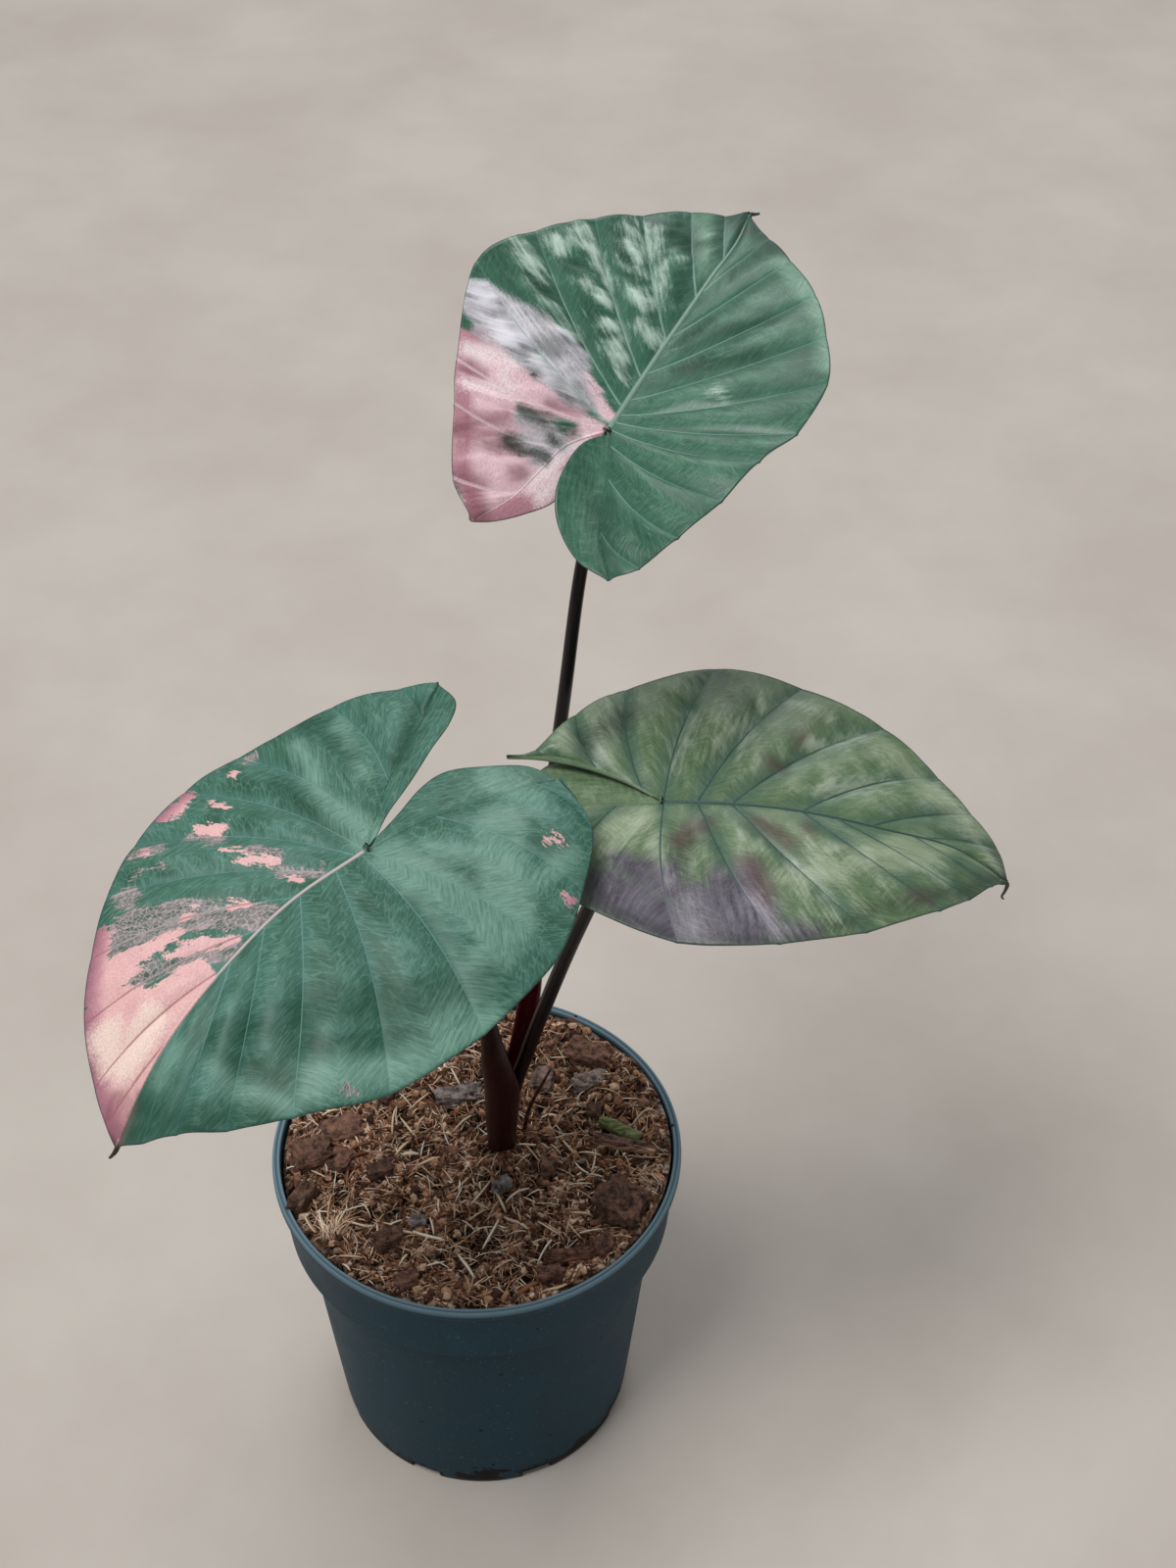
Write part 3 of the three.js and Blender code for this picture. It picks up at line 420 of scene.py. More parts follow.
def scattered_lumps(places, sizes, spins, tilts, seed):
    """Twelve-cornered lumps at the given places: a ball of seeded uneven corners, scaled
    along its axes, tilted and spun."""
    rough = np.random.default_rng(seed).uniform(0.62, 1.15, (len(places), 12, 1))
    lumps = BALL[None] * rough * sizes[:, None, :] / 2
    cos_t, sin_t = np.cos(tilts)[:, None], np.sin(tilts)[:, None]
    x = lumps[..., 0] * cos_t - lumps[..., 2] * sin_t
    z = lumps[..., 0] * sin_t + lumps[..., 2] * cos_t
    turned = spun(np.stack([x, lumps[..., 1], z], -1), spins[:, None])
    faces = BALL_FACES[None] + 12 * np.arange(len(places))[:, None, None]
    return (turned + places[:, None, :]).reshape(-1, 3), faces.reshape(-1, 3)


draw = np.random.default_rng(23)
crumb_radius = 65.2 * np.sqrt(draw.uniform(0, 1, CRUMBS))
crumb_angle = draw.uniform(0, 2 * np.pi, CRUMBS)
crumb_x = crumb_radius * np.cos(crumb_angle)
crumb_y = crumb_radius * np.sin(crumb_angle)
crumb_size = 0.8 + 3.4 * draw.uniform(0, 1, CRUMBS) ** 4
crumb_sizes = crumb_size[:, None] * draw.uniform(0.6, 1.3, (CRUMBS, 3))
crumb_places = np.stack([crumb_x, crumb_y, bed_height(crumb_x, crumb_y) + 0.18 * crumb_size], -1)
crumb_points, crumb_faces = scattered_lumps(crumb_places, crumb_sizes, draw.uniform(0, 6.3, CRUMBS),
                                            draw.uniform(-0.6, 0.6, CRUMBS), 24)
crumb_tone = np.repeat(draw.uniform(0, 1, CRUMBS), 12)


def litter_skin(name, tones, worn=(), bump=(), grain=(1, 1, 1), spin=0, detail=4, coarse=0.5, **sockets):
    """The material of loose bits, each of its own tone out of a band of colours. A noise stretched along
    their grain darkens or lightens them, by a range of it and the strengths at its ends, and lifts their
    faces, by a strength and a height."""
    material, tree, shader = surface(name, **sockets)
    own_tone = add(tree, "Attribute", out=2, attribute_name="tone")
    colour = add(tree, "ValToRGB", {0: own_tone}, stops=tones)
    if worn:
        place = add(tree, "Mapping", {0: add(tree, "TexCoord", out=3), 2: (0, 0, spin), 3: grain})
        speckle = add(tree, "TexNoise", {"Vector": place, "Scale": 1, "Detail": detail, "Roughness": coarse})
        shade = add(tree, "MapRange", {0: speckle, **dict(enumerate(worn, 1))})
        colour = add(tree, "VectorMath", {0: colour, 3: shade}, operation="SCALE")
        rough = add(tree, "Bump", {"Height": speckle, "Strength": bump[0], "Distance": bump[1]})
        wire(tree, shader, Normal=rough)
    wire(tree, shader, Base_Color=colour)
    return material


# Loose crumbs of coir pith and bark: browns from near black to tan, each crumb one tone, dull.
crumb_bark = litter_skin("coir_pith_crumb", (
    (0.0, "#3c2319"), (0.3, "#7b5340"), (0.6, "#a87c62"), (0.8, "#c49474"), (0.93, "#c9a98b"),
    (1.0, "#ead0b2"),
), worn=(0.35, 0.7, 0.6, 1.25), bump=(0.7, 0.0005), grain=(1100, 1100, 1100),
    Roughness=0.9, Specular_IOR_Level=0.25)
crumbs = mesh_piece("mix_crumbs", crumb_points, [crumb_faces], crumb_bark, smooth=False,
                    values={"tone": crumb_tone})
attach(crumbs, "root")


def rough_block(length, width, height, seed, steps=(48, 30)):
    """A broken chip: a squared-off ball (powers of the sines and cosines of two angles), its corners chipped
    and its faces roughened by three sizes of noise."""
    lat = np.linspace(-np.pi / 2, np.pi / 2, steps[1])[:, None]
    lon = np.linspace(0, 2 * np.pi, steps[0], endpoint=False)[None, :]
    waves = (np.cos(lon), np.sin(lon), np.cos(lat), np.sin(lat) + 0 * lon)
    cos_lon, sin_lon, cos_lat, tall = (np.sign(wave) * np.abs(wave) ** SQUARENESS for wave in waves)
    across = cos_lat * cos_lon
    back = cos_lat * sin_lon
    dent = (1 + 0.22 * lattice_noise(1.9 * across + 9, 1.9 * back + 2 * tall, seed)
            + 0.13 * lattice_noise(5 * across + 3 * tall, 5 * back, seed + 1)
            + 0.05 * lattice_noise(14 * across + 9 * tall, 14 * back, seed + 2))
    block = np.stack([across * dent * length / 2, back * dent * width / 2, tall * dent * height / 2], -1)
    return block.reshape(-1, 3), grid_faces(steps[1], steps[0], closed=True)


chip_points = []
chip_faces = []
for n, (x, y, length, width, height, turn_degrees, _) in enumerate(CHIPS):
    block, faces = rough_block(length * 1.05, width * 1.05, height * 1.5, 40 + n)
    block = spun(block, math.radians(turn_degrees))
    chip_points.append(block + [x, y, soil_height(np.array(x), np.array(y)) + height * 0.42 + 0.8])
    chip_faces.append(facing_out(block, faces) + len(block) * n)
chip_tones = np.repeat([chip[-1] for chip in CHIPS], len(block))
# Broken pine bark: reddish brown and purplish grey plates, rough, dull, darker along the grain.
bark = litter_skin("broken_pine_bark", (
    (0.25, "#735645"), (0.5, "#7d5a4b"), (0.7, "#8a6453"), (0.95, "#9b908c"),
), worn=(0.38, 0.66, 0.14, 1.4), bump=(0.9, 0.001), grain=(300, 300, 300), detail=8, coarse=0.75,
    Roughness=0.88, Specular_IOR_Level=0.3)
chips = mesh_piece("bark_chips", np.concatenate(chip_points), [np.concatenate(chip_faces)], bark,
                   smooth=False, values={"tone": chip_tones})
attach(chips, "root")


# Coir fibres and straws are stiff plant hairs and slivers, combed out when the husk is milled. They lie
# across the crumbs in every direction, most of them short and some long.
SHORT_FIBRES = 4400
LONG_FIBRES = 520
TUFT_FIBRES = 46
FAN_STRAWS = 12
# The tuft of fibres and the fan of straws: place across and back, heading and spread in degrees.
TUFT = (-47, -37, 85, 46)
FAN = (55, -9, -45, 14)
LOOSE_STRAWS = 230
# Each straw seen on the bed: middle across and back, length, heading in degrees and half thickness.
STRAWS = (
    (-43, 7, 14, -64, 0.4), (-53, -1, 16, -73, 0.45), (-30, 14, 11, -93, 0.35), (-26, 2, 8, 62, 0.55),
    (-23, -1, 6, 5, 0.75), (-16, -5, 8, 31, 0.5), (-26, -31, 5, 28, 0.35), (-14, -31, 7, -76, 0.35),
    (-24, -35, 9, 5, 0.55), (-15, -36, 11, -18, 0.6), (-32, -34, 5, -82, 0.3), (-51, -31, 9, -75, 0.45),
    (-49, -26, 15, -90, 0.3), (-44, -29, 9, -108, 0.3), (-40, -45, 8, -5, 0.45), (-41, -49, 4, -45, 0.4),
    (-2, -48, 12, -61, 0.5), (-1, -55, 6, -74, 0.4), (-12, -48, 7, 26, 0.3), (2, -18, 10, 51, 0.35),
    (8, -21, 11, -65, 0.4), (14, -19, 10, 39, 0.35), (6, -34, 15, -111, 0.35), (14, -31, 11, -42, 0.5),
    (15, -28, 7, -78, 0.35), (1, -27, 7, 43, 0.3), (36, -28, 7, -10, 0.45), (28, -59, 9, -2, 0.5),
    (-55, -32, 9, -59, 0.45), (7, -1, 5, -28, 0.3), (-9, 32, 7, -60, 0.35), (-15, 31, 6, 49, 0.3),
    (56, 14, 9, 45, 0.3),
)
# Each brown root or splinter: the same measures.
ROOTS = (
    (-48, 1, 8, -25, 0.55), (-41, 2, 10, 32, 0.5), (-43, -3, 12, 38, 0.8), (-16, -20, 8, 36, 0.3),
    (-10, -15, 10, 35, 0.3), (-28, -21, 11, 19, 0.35), (19, -57, 9, 37, 0.9),
)


def strands(x, y, heading, length, bend, lift, thick, steps=7, sides=3, above=0.5, sink=0.5):
    """Thin round strands: a path curved in plan over the bed, humped at mid length, carried by a small
    section that tapers to its ends."""
    share = np.linspace(-0.5, 0.5, steps)[None, :]
    path_x = x[:, None] + length[:, None] * share * np.cos(heading[:, None] + bend[:, None] * share)
    path_y = y[:, None] + length[:, None] * share * np.sin(heading[:, None] + bend[:, None] * share)
    inside = np.minimum(1, 65.4 / np.maximum(np.hypot(path_x, path_y), 1))
    path_x = path_x * inside
    path_y = path_y * inside
    path_z = bed_height(path_x, path_y) * sink + soil_height(path_x, path_y) * (1 - sink)
    path_z = path_z + above + lift[:, None] * (1 - 4 * share ** 2)
    radius = thick[:, None] * (1 - 1.4 * share ** 2)
    around = np.linspace(0, 2 * np.pi, sides, endpoint=False)[None, None, :]
    side_x = -np.sin(heading)[:, None, None]
    side_y = np.cos(heading)[:, None, None]
    points = np.stack([path_x[..., None] + side_x * radius[..., None] * np.cos(around),
                       path_y[..., None] + side_y * radius[..., None] * np.cos(around),
                       path_z[..., None] + radius[..., None] * np.sin(around)], -1)
    one = grid_faces(steps, sides, closed=True)
    faces = (one[None] + steps * sides * np.arange(len(x))[:, None, None]).reshape(-1, 4)
    ends = np.array([[2, 1, 0], [steps * sides - 3, steps * sides - 2, steps * sides - 1]])
    caps = (ends[None] + steps * sides * np.arange(len(x))[:, None, None]).reshape(-1, 3)
    return points.reshape(-1, 3), [faces, caps]


def joined(*bundles):
    """Several bundles of points and their four- and three-sided faces as one."""
    start = np.cumsum([0] + [len(points) for points, _ in bundles])
    quads = np.concatenate([faces[0] + n for (_, faces), n in zip(bundles, start)])
    caps = np.concatenate([faces[1] + n for (_, faces), n in zip(bundles, start)])
    return np.concatenate([points for points, _ in bundles]), [quads, caps]


def strewn(draw, count, reach, shortest, longest, bend, thinnest, thickest, steps, above=0.5, sink=0.5):
    """A bundle of strands strewn evenly over the bed, more of them short than long."""
    radius = reach * np.sqrt(draw.uniform(0, 1, count))
    angle = draw.uniform(0, 2 * np.pi, count)
    return strands(radius * np.cos(angle), radius * np.sin(angle), draw.uniform(0, 2 * np.pi, count),
                   shortest + (longest - shortest) * draw.uniform(0, 1, count) ** 1.6,
                   draw.uniform(-bend, bend, count), draw.uniform(0, 1.2, count),
                   draw.uniform(thinnest, thickest, count), steps, above=above, sink=sink)


def fanned(draw, count, x, y, heading, spread):
    """A bundle of strands that leave one place in much the same direction."""
    length = draw.uniform(6, 15, count)
    headings = np.radians(heading + draw.uniform(-1, 1, count) * spread)
    starts_x = x + draw.uniform(-3, 3, count)
    starts_y = y + draw.uniform(-2, 2, count)
    return strands(starts_x + np.cos(headings) * length / 2, starts_y + np.sin(headings) * length / 2,
                   headings, length, draw.uniform(-0.5, 0.5, count), draw.uniform(0.3, 2, count),
                   draw.uniform(0.1, 0.22, count))


def laid(seen, draw):
    """A bundle of strands from a list of middles, lengths, headings in degrees and half thicknesses."""
    x, y, length, heading, thick = np.array(seen, float).T
    return strands(x, y, np.radians(heading), length, draw.uniform(-0.2, 0.2, len(x)),
                   draw.uniform(0.3, 0.8, len(x)), thick * 1.4, above=1.6, sink=0.1)


draw = np.random.default_rng(57)
bundles = [strewn(draw, SHORT_FIBRES, 65, 1.6, 8, 0.6, 0.08, 0.28, 4),
           strewn(draw, LONG_FIBRES, 62, 7, 18, 0.7, 0.1, 0.26, 7),
           fanned(draw, TUFT_FIBRES, *TUFT), laid(ROOTS, draw)]
tones = [np.repeat(draw.uniform(0, 1, SHORT_FIBRES) ** 1.5, 12),
         np.repeat(draw.uniform(0, 1, LONG_FIBRES), 21), np.repeat(draw.uniform(0.6, 1, TUFT_FIBRES), 21),
         np.repeat(draw.uniform(0.05, 0.4, len(ROOTS)), 21)]
fibre_points, fibre_faces = joined(*bundles)
# Coir fibre, retted and dried: brown to straw, with a faint dry sheen along its length.
coir = litter_skin("dry_coir_fibre", (
    (0.0, "#3c2116"), (0.35, "#91603f"), (0.7, "#d9a987"), (1.0, "#ffefd6"),
), Roughness=0.75, Specular_IOR_Level=0.3)
fibres = mesh_piece("coir_fibres", fibre_points, fibre_faces, coir, values={"tone": np.concatenate(tones)})
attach(fibres, "root")

bundles = [laid(STRAWS, draw), strewn(draw, LOOSE_STRAWS, 63, 2, 10, 0.25, 0.2, 0.46, 7, 1.2, 0.1),
           fanned(draw, FAN_STRAWS, *FAN)]
straw_points, straw_faces = joined(*bundles)
straw_tone = np.repeat(draw.uniform(0, 1, len(straw_points) // 21), 21)
# Slivers of pale husk: cream to straw, dry and slightly glossy.
husk = litter_skin("pale_husk_sliver", ((0.0, "#c29c78"), (0.45, "#e6cba8"), (1.0, "#fff5e4")),
                   Roughness=0.55)
straws = mesh_piece("husk_slivers", straw_points, straw_faces, husk, values={"tone": straw_tone})
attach(straws, "root")


# Two twigs and a cut green stem lie on the bed at its right. Each twig: middle across and back, length,
# heading in degrees, half thickness, hump and tone.
TWIGS = ((49, 9, 17, -34, 2.5, 0.8, 1.0), (51, 1.5, 21, -19, 1.6, 0.5, 0.45),
         (33, -46, 16, 9, 1.3, 0.5, 0.1))
TWIG_GRID = 12


def capped(rings):
    """The points and faces of a run of rings, closed by a fan at both ends."""
    rows, size = rings.shape[:2]
    points = np.concatenate([rings.reshape(-1, 3), rings[0].mean(0)[None], rings[-1].mean(0)[None]])
    start = np.arange(size)
    end = start + (rows - 1) * size
    low = np.stack([np.full(size, rows * size), np.roll(start, -1), start], -1)
    high = np.stack([np.full(size, rows * size + 1), end, np.roll(end, -1)], -1)
    return points, [grid_faces(rows, size, closed=True), np.concatenate([low, high])]


x, y, length, heading, thick, hump, twig_tone = np.array(TWIGS).T
twig_rings, _ = strands(x, y, np.radians(heading), length, 0 * x, hump, thick, TWIG_GRID, TWIG_GRID,
                        above=1.7, sink=0.1)
twigs_apart = [capped(rings) for rings in twig_rings.reshape(len(TWIGS), TWIG_GRID, TWIG_GRID, 3)]
twig_points, twig_faces = joined(*twigs_apart)
# Twigs and a cut green stem: fibrous bark, split along its length, olive where it is still fresh.
twig_bark = litter_skin("fibrous_twig", ((0.1, "#8a5f4b"), (0.45, "#b08b70"), (1.0, "#737a4e")),
                        worn=(0.35, 0.65, 0.35, 1.4), bump=(0.8, 0.0006), grain=(160, 1100, 1100),
                        spin=math.radians(28), detail=5, Roughness=0.8, Specular_IOR_Level=0.3)
twigs = mesh_piece("twigs", twig_points, twig_faces, twig_bark,
                   values={"tone": np.repeat(twig_tone, len(twigs_apart[0][0]))})
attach(twigs, "root")


# Each leaf's stalk is one fleshy petiole. Low down its edges open into a sheath that wraps the younger
# stalks, and at the top it meets the blade at the notch between its lobes.
GAP = 0.35
STALK_SECTION = 40
RINGS_PER_STATION = 14
# Where each blade's notch is, and its heading, rise and roll in degrees.
LEAF_PLACES = {
    "front": {"junction": (-23.1, -55, 316.9), "heading": -133, "rise": -10, "roll": -8},
    "top": {"junction": (42.3, 12, 408.4), "heading": 62, "rise": 14, "roll": 11},
    "right": {"junction": (58.7, -24, 307.3), "heading": -4, "rise": 2, "roll": 12},
}
# Each petiole: the way its sheath faces and how far it wraps in degrees, its wall, how red its opened sheath
# is painted (its own red with light shining through the thin tissue), and its stations from the mix upwards:
# a place, a radius and how far the section is opened.
PETIOLES = {
    "front": {"faces": 242, "wrap": 104, "wall": 1.2, "red": 0.12, "stations": (
        (8.2, 1.5, 101, 4.6, 1), (8.2, 1.5, 122, 4.6, 1), (8.8, 1.1, 140, 5.6, 1), (9.2, 0.2, 156, 6.0, 1),
        (7.6, -1.8, 172, 5.0, 0.9), (6.2, -4.2, 187, 3.4, 0.5), (3.7, -9.5, 213, 2.4, 0),
        (-1.5, -20, 246, 2.3, 0), (-10.4, -36, 281, 2.2, 0))},
    "right": {"faces": 180, "wrap": 140, "wall": 1.0, "red": 0.0, "stations": (
        (10.7, 2.4, 101, 1.9, 0), (10.7, 2.4, 122, 1.9, 0), (11.8, 2.6, 142, 2.1, 0),
        (14.6, 2.6, 159, 2.3, 0), (17.4, 2.2, 170, 2.4, 0), (23.2, 0, 194, 2.4, 0), (34.4, -5, 236, 2.35, 0),
        (46.2, -12, 274, 2.2, 0))},
    "top": {"faces": 80, "wrap": 118, "wall": 0.9, "red": 0.9, "stations": (
        (7.7, 5, 101, 1.7, 0), (7.7, 5, 122, 1.7, 0), (8.8, 6.4, 142, 1.8, 0), (12.4, 8, 160, 2.2, 0.4),
        (16.3, 8.2, 176, 3.4, 1), (18.6, 8.4, 191, 3.5, 1), (21.3, 9, 213, 2.3, 0.2),
        (25.4, 9.8, 270, 2.1, 0), (30.6, 10.3, 321, 2, 0), (35.1, 11, 363, 1.9, 0))},
}


def through(points, t):
    """A smooth curve through points: a cubic on each stretch whose slopes follow the points on either side,
    for places t counted in points."""
    points = np.asarray(points, float)
    padded = np.concatenate([2 * points[:1] - points[1:2], points, 2 * points[-1:] - points[-2:-1]])
    i = np.minimum(np.floor(t).astype(int), len(points) - 2)
    f = (t - i)[..., None]
    a, b, c, d = padded[i], padded[i + 1], padded[i + 2], padded[i + 3]
    bend = 2 * a - 5 * b + 4 * c - d
    twist = 3 * b - 3 * c + d - a
    return 0.5 * (2 * b + (c - a) * f + bend * f ** 2 + twist * f ** 3)


def leaf_axes(place):
    """Three directions of a blade: along its midrib, across it to the left, and out of its upper face."""
    yaw, rise, roll = (math.radians(place[key]) for key in ("heading", "rise", "roll"))
    along = np.array([math.cos(yaw) * math.cos(rise), math.sin(yaw) * math.cos(rise), math.sin(rise)])
    level_across = np.array([-math.sin(yaw), math.cos(yaw), 0])
    level_normal = np.cross(along, level_across)
    across = level_across * math.cos(roll) + level_normal * math.sin(roll)
    return along, across, np.cross(along, across)


def section_axes(along):
    """Two directions square to a path at each of its places, kept from twisting by a fixed guide."""
    along = along / np.linalg.norm(along, axis=1, keepdims=True)
    guide = np.where(np.abs(along[:, :1]) > 0.8, [[0, 1, 0]], [[1, 0, 0]]).astype(float)
    across = guide - np.sum(guide * along, 1, keepdims=True) * along
    across = across / np.linalg.norm(across, axis=1, keepdims=True)
    return across, np.cross(along, across)


def path_slopes(stations, t):
    """Directions of a path at places t, from points a little before and after each."""
    ahead = through(stations, np.minimum(t + 0.05, len(stations) - 1))
    behind = through(stations, np.maximum(t - 0.05, 0))
    return (ahead - behind)[:, :3]


def stalk_rings(petiole, junction, normal):
    """Rings of a petiole: a round section that opens, where its sheath is, into a folded one of two arcs."""
    stations = list(petiole["stations"])
    thin = stations[-1][3]
    stations.append((*(junction - 10 * normal), thin, 0))
    stations.append((*(junction - (2.9 + GAP) * normal), thin, 0))
    t = np.linspace(0, len(stations) - 1, (len(stations) - 1) * RINGS_PER_STATION + 1)
    course = through(stations, t)
    slopes = path_slopes(stations, t)
    slopes[-1] = normal
    across, up = section_axes(slopes)
    half = STALK_SECTION // 2
    wrap = math.radians(petiole["wrap"])
    facing = math.radians(petiole["faces"])
    shut = (math.pi - wrap) / half
    outer = np.linspace(-wrap, wrap, half)
    inner = np.linspace(wrap + shut, 2 * math.pi - wrap - shut, half)
    angle = np.concatenate([outer, inner]) + facing
    folded = np.concatenate([outer, outer[::-1]]) + facing
    radius = course[:, 3:4]
    is_open = np.clip(course[:, 4:5], 0, 1)
    inward = np.concatenate([np.zeros(half), np.full(half, petiole["wall"])])[None, :]
    folded_radius = np.maximum(radius - inward, 0.2)
    c = radius * np.cos(angle) * (1 - is_open) + folded_radius * np.cos(folded) * is_open
    s = radius * np.sin(angle) * (1 - is_open) + folded_radius * np.sin(folded) * is_open
    return course[:, None, :3] + across[:, None] * c[..., None] + up[:, None] * s[..., None]


# Living petiole skin: dark maroon to near black, waxy and smooth, redder low down, and red on the opened
# sheath, where its own red is brightened by painted light shining through the thin tissue.
stalk_skin, tree, shader = surface("living_petiole_skin", Roughness=0.3, IOR=1.42, Specular_IOR_Level=0.35)
place = add(tree, "TexCoord", out=3)
heights = add(tree, "SeparateXYZ", {0: place}, out=2)
longer = add(tree, "Mapping", {0: place, 3: (900, 900, 90)})
streaks = add(tree, "TexNoise", {"Vector": longer, "Scale": 1, "Detail": 4})
maroon = add(tree, "ValToRGB", {0: streaks}, stops=((0.3, "#070203"), (0.55, "#0e0305"), (0.8, "#1a070a")))
low_down = add(tree, "MapRange", {0: heights, 1: 0.2, 2: 0.125, 4: 0.75}, **EASED)
# Painted light: the opened sheath is red, its own red with light shining through its thin tissue painted in.
backlit_sheath = add(tree, "Attribute", out=2, attribute_name="backlit_sheath")
for share, redder in ((low_down, "#1d0508"), (backlit_sheath, "#64191b")):
    maroon = add(tree, "Mix", {0: share, 6: maroon, 7: redder}, out=2, data_type="RGBA")
stalk_bump = add(tree, "Bump", {"Height": streaks, "Strength": 0.15, "Distance": 0.0004})
wire(tree, shader, Base_Color=maroon, Normal=stalk_bump)
for name, petiole in PETIOLES.items():
    normal = leaf_axes(LEAF_PLACES[name])[2]
    stalk_points, stalk_faces = capped(stalk_rings(petiole, np.array(LEAF_PLACES[name]["junction"]), normal))
    _, _, heights, _, opened = np.array(petiole["stations"]).T
    sheath = petiole["red"] * np.interp(stalk_points[:, 2], heights, opened)
    stalk = mesh_piece(name + "_stalk", stalk_points, stalk_faces, stalk_skin,
                       values={"backlit_sheath": sheath})
    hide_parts(name + "_petiole")
    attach(stalk, "root")


# Each blade is one living leaf, heart-shaped, stiff and waxy. Its side veins run out from the midrib to
# the margin and the tissue between them swells up in a quilt.
REACH = 100
RIB_HALF_WIDTH = 0.9
ROWS_PER_VEIN = 24
COLUMNS = 58
SINUS_COLUMNS = 16
BLADE = 0.55
# How much further on the wrinkles of the next stretch between two side veins lie in their noise.
VEIN_PITCH = 31
# The lie of each blade, its notch, midrib and tail, and its halves: the main vein of the lobe, the edge of
# the sinus, and each side vein from its place on the midrib to where it ends at the margin.
LEAVES = {
    "front": {
        "sag": (0.12, -0.38), "fold": -0.03, "crown": -0.3, "lobes": 0.3, "flare": -0.1, "crease": 0,
        "quilt": 1.8, "dent": 1.2, "rib": 0.62, "proud": 0.1, "flutter": 0.8, "notch": (-5, -0.8),
        "midrib": ((0, 0), (24, -3), (50, -2), (78, 0.5), (99, 5)),
        "tail": ((100.3, 4.6, -1.6), (101, 4, -2.8)),
        "left": {
            "wrinkle": 0.4, "line": 1,
            "lobe": ((0, 0), (-17, 5), (-33, 14), (-44, 20), (-50.5, 25)),
            "sinus": ((-14, -1.5), (-24, -2.5), (-32, -0.5), (-40, 7), (-47.5, 16)), "over": 0,
            "veins": ((-1, -50.5, 25), (-0.8, -47.5, 40), (-0.3, -33, 50), (0, -15, 57), (1.5, 15, 59),
                      (10, 44, 53), (22, 66, 39.5), (35, 79, 27.5), (48, 88, 17.5), (68, 94, 10.5),
                      (99, 99, 5))},
        "right": {
            "wrinkle": 0.45, "line": 1,
            "lobe": ((0, 0), (-15, -9), (-28, -14.5), (-40, -18), (-51.5, -22)),
            "sinus": ((-13, -4), (-24, -6.3), (-35, -9), (-44, -10.5), (-50, -14)), "over": 0,
            "veins": ((-1, -51.5, -22), (-0.75, -45, -32.5), (-0.35, -30, -45), (-0.08, -3, -56),
                      (0, 16, -57.5), (3, 37, -55), (12, 54, -46.5), (24, 69, -36.5), (37, 83, -23.5),
                      (52, 92, -10.5), (75, 97, -0.5), (99, 99, 5))},
    },
    "top": {
        "sag": (-0.08, -0.02), "fold": 0.3, "crown": 0.05, "lobes": -0.42, "flare": -0.02, "crease": 0.2,
        "quilt": 1.9, "dent": 0.9, "rib": 1.05, "proud": 0.1, "flutter": 0.7, "notch": (-3, 0.6),
        "midrib": ((0, 0), (30, 0.5), (57, 1), (85, 2.5), (107, 6.5)),
        "tail": ((108.2, 5.4, -0.3), (109.2, 4.4, -0.4)),
        "left": {
            "wrinkle": 1.5, "line": 1.7,
            "lobe": ((0, 0), (-11, 7), (-22, 9.5), (-32, 12), (-43, 18)),
            "sinus": ((-9, 0.6), (-17, 0.8), (-26, 2.6), (-33, 7.5), (-39, 13)), "over": -1.6,
            "veins": ((-1, -43, 18), (-0.7, -36, 27.5), (-0.3, -20, 36), (0, -8, 42), (2, 21, 52),
                      (9, 43, 45.5), (21, 59, 35), (37, 73, 26.5), (57, 87, 17.5), (78, 98, 11),
                      (107, 107, 6.5))},
        "right": {
            "wrinkle": 0.25, "line": 0.9,
            "lobe": ((0, 0), (-11, -6), (-22, -10), (-33, -14.5), (-42.8, -22)),
            "sinus": ((-9, 3.3), (-17, 3.8), (-26, 2.3), (-34, -3), (-40.7, -12)), "over": 2.6,
            "veins": ((-1, -42.8, -22), (-0.7, -37.5, -28), (-0.35, -28, -33.8), (-0.12, -14, -39.2),
                      (0, 0, -42.9), (3, 13, -47.6), (6, 32, -47.6), (12, 51.5, -39.3), (23, 67, -29.5),
                      (39, 83, -15.7), (60, 95, -4.5), (107, 107, 6.5))},
    },
    "right": {
        "sag": (-0.13, -0.2), "fold": 0.1, "crown": -0.21, "lobes": 0.35, "flare": 0, "crease": 0,
        "quilt": 2.1, "dent": 0.9, "rib": 0.75, "proud": 0.05, "flutter": 0.8, "notch": (-3.5, 1.6),
        "midrib": ((0, 0), (32, 0.4), (62, -0.4), (84, 1.2), (99.5, -2.5)),
        "tail": ((99.2, -3.4, -2.2), (98.4, -4, -4.4), (99, -4.2, -5.6)),
        "left": {
            "wrinkle": 0.7, "line": 1.7,
            "lobe": ((0, 0), (-11, 6.5), (-22, 10.5), (-33, 11.8), (-44.8, 8.4)),
            "sinus": ((-10, 4.8), (-18, 7.4), (-26, 8.8), (-34, 9.2), (-40, 8.8)), "over": 1.6,
            "veins": ((-1, -44.8, 8.4), (-0.75, -37.3, 13.4), (-0.45, -26.6, 27), (-0.15, -12.5, 40),
                      (0, 13, 48.5), (10, 39, 45), (20, 63, 34.5), (40, 79, 24), (60, 89, 14.5), (76, 97, 8),
                      (99.5, 99.5, -2.5))},
        "right": {
            "wrinkle": 0.7, "line": 1.7,
            "lobe": ((0, 0), (-11, -2), (-22, -3.5), (-33, -7), (-43, -13)),
            "sinus": ((-10, 7.4), (-18, 12), (-26, 13.4), (-34, 10), (-40, 0)), "over": -3,
            "veins": ((-1, -43, -13), (-0.75, -40, -25), (-0.3, -27, -35), (0, 6, -46.5), (10, 34, -45.5),
                      (20, 58, -36.5), (40, 79, -23.5), (50, 88, -14.5), (72, 95, -7), (99.5, 99.5, -2.5))},
    },
}


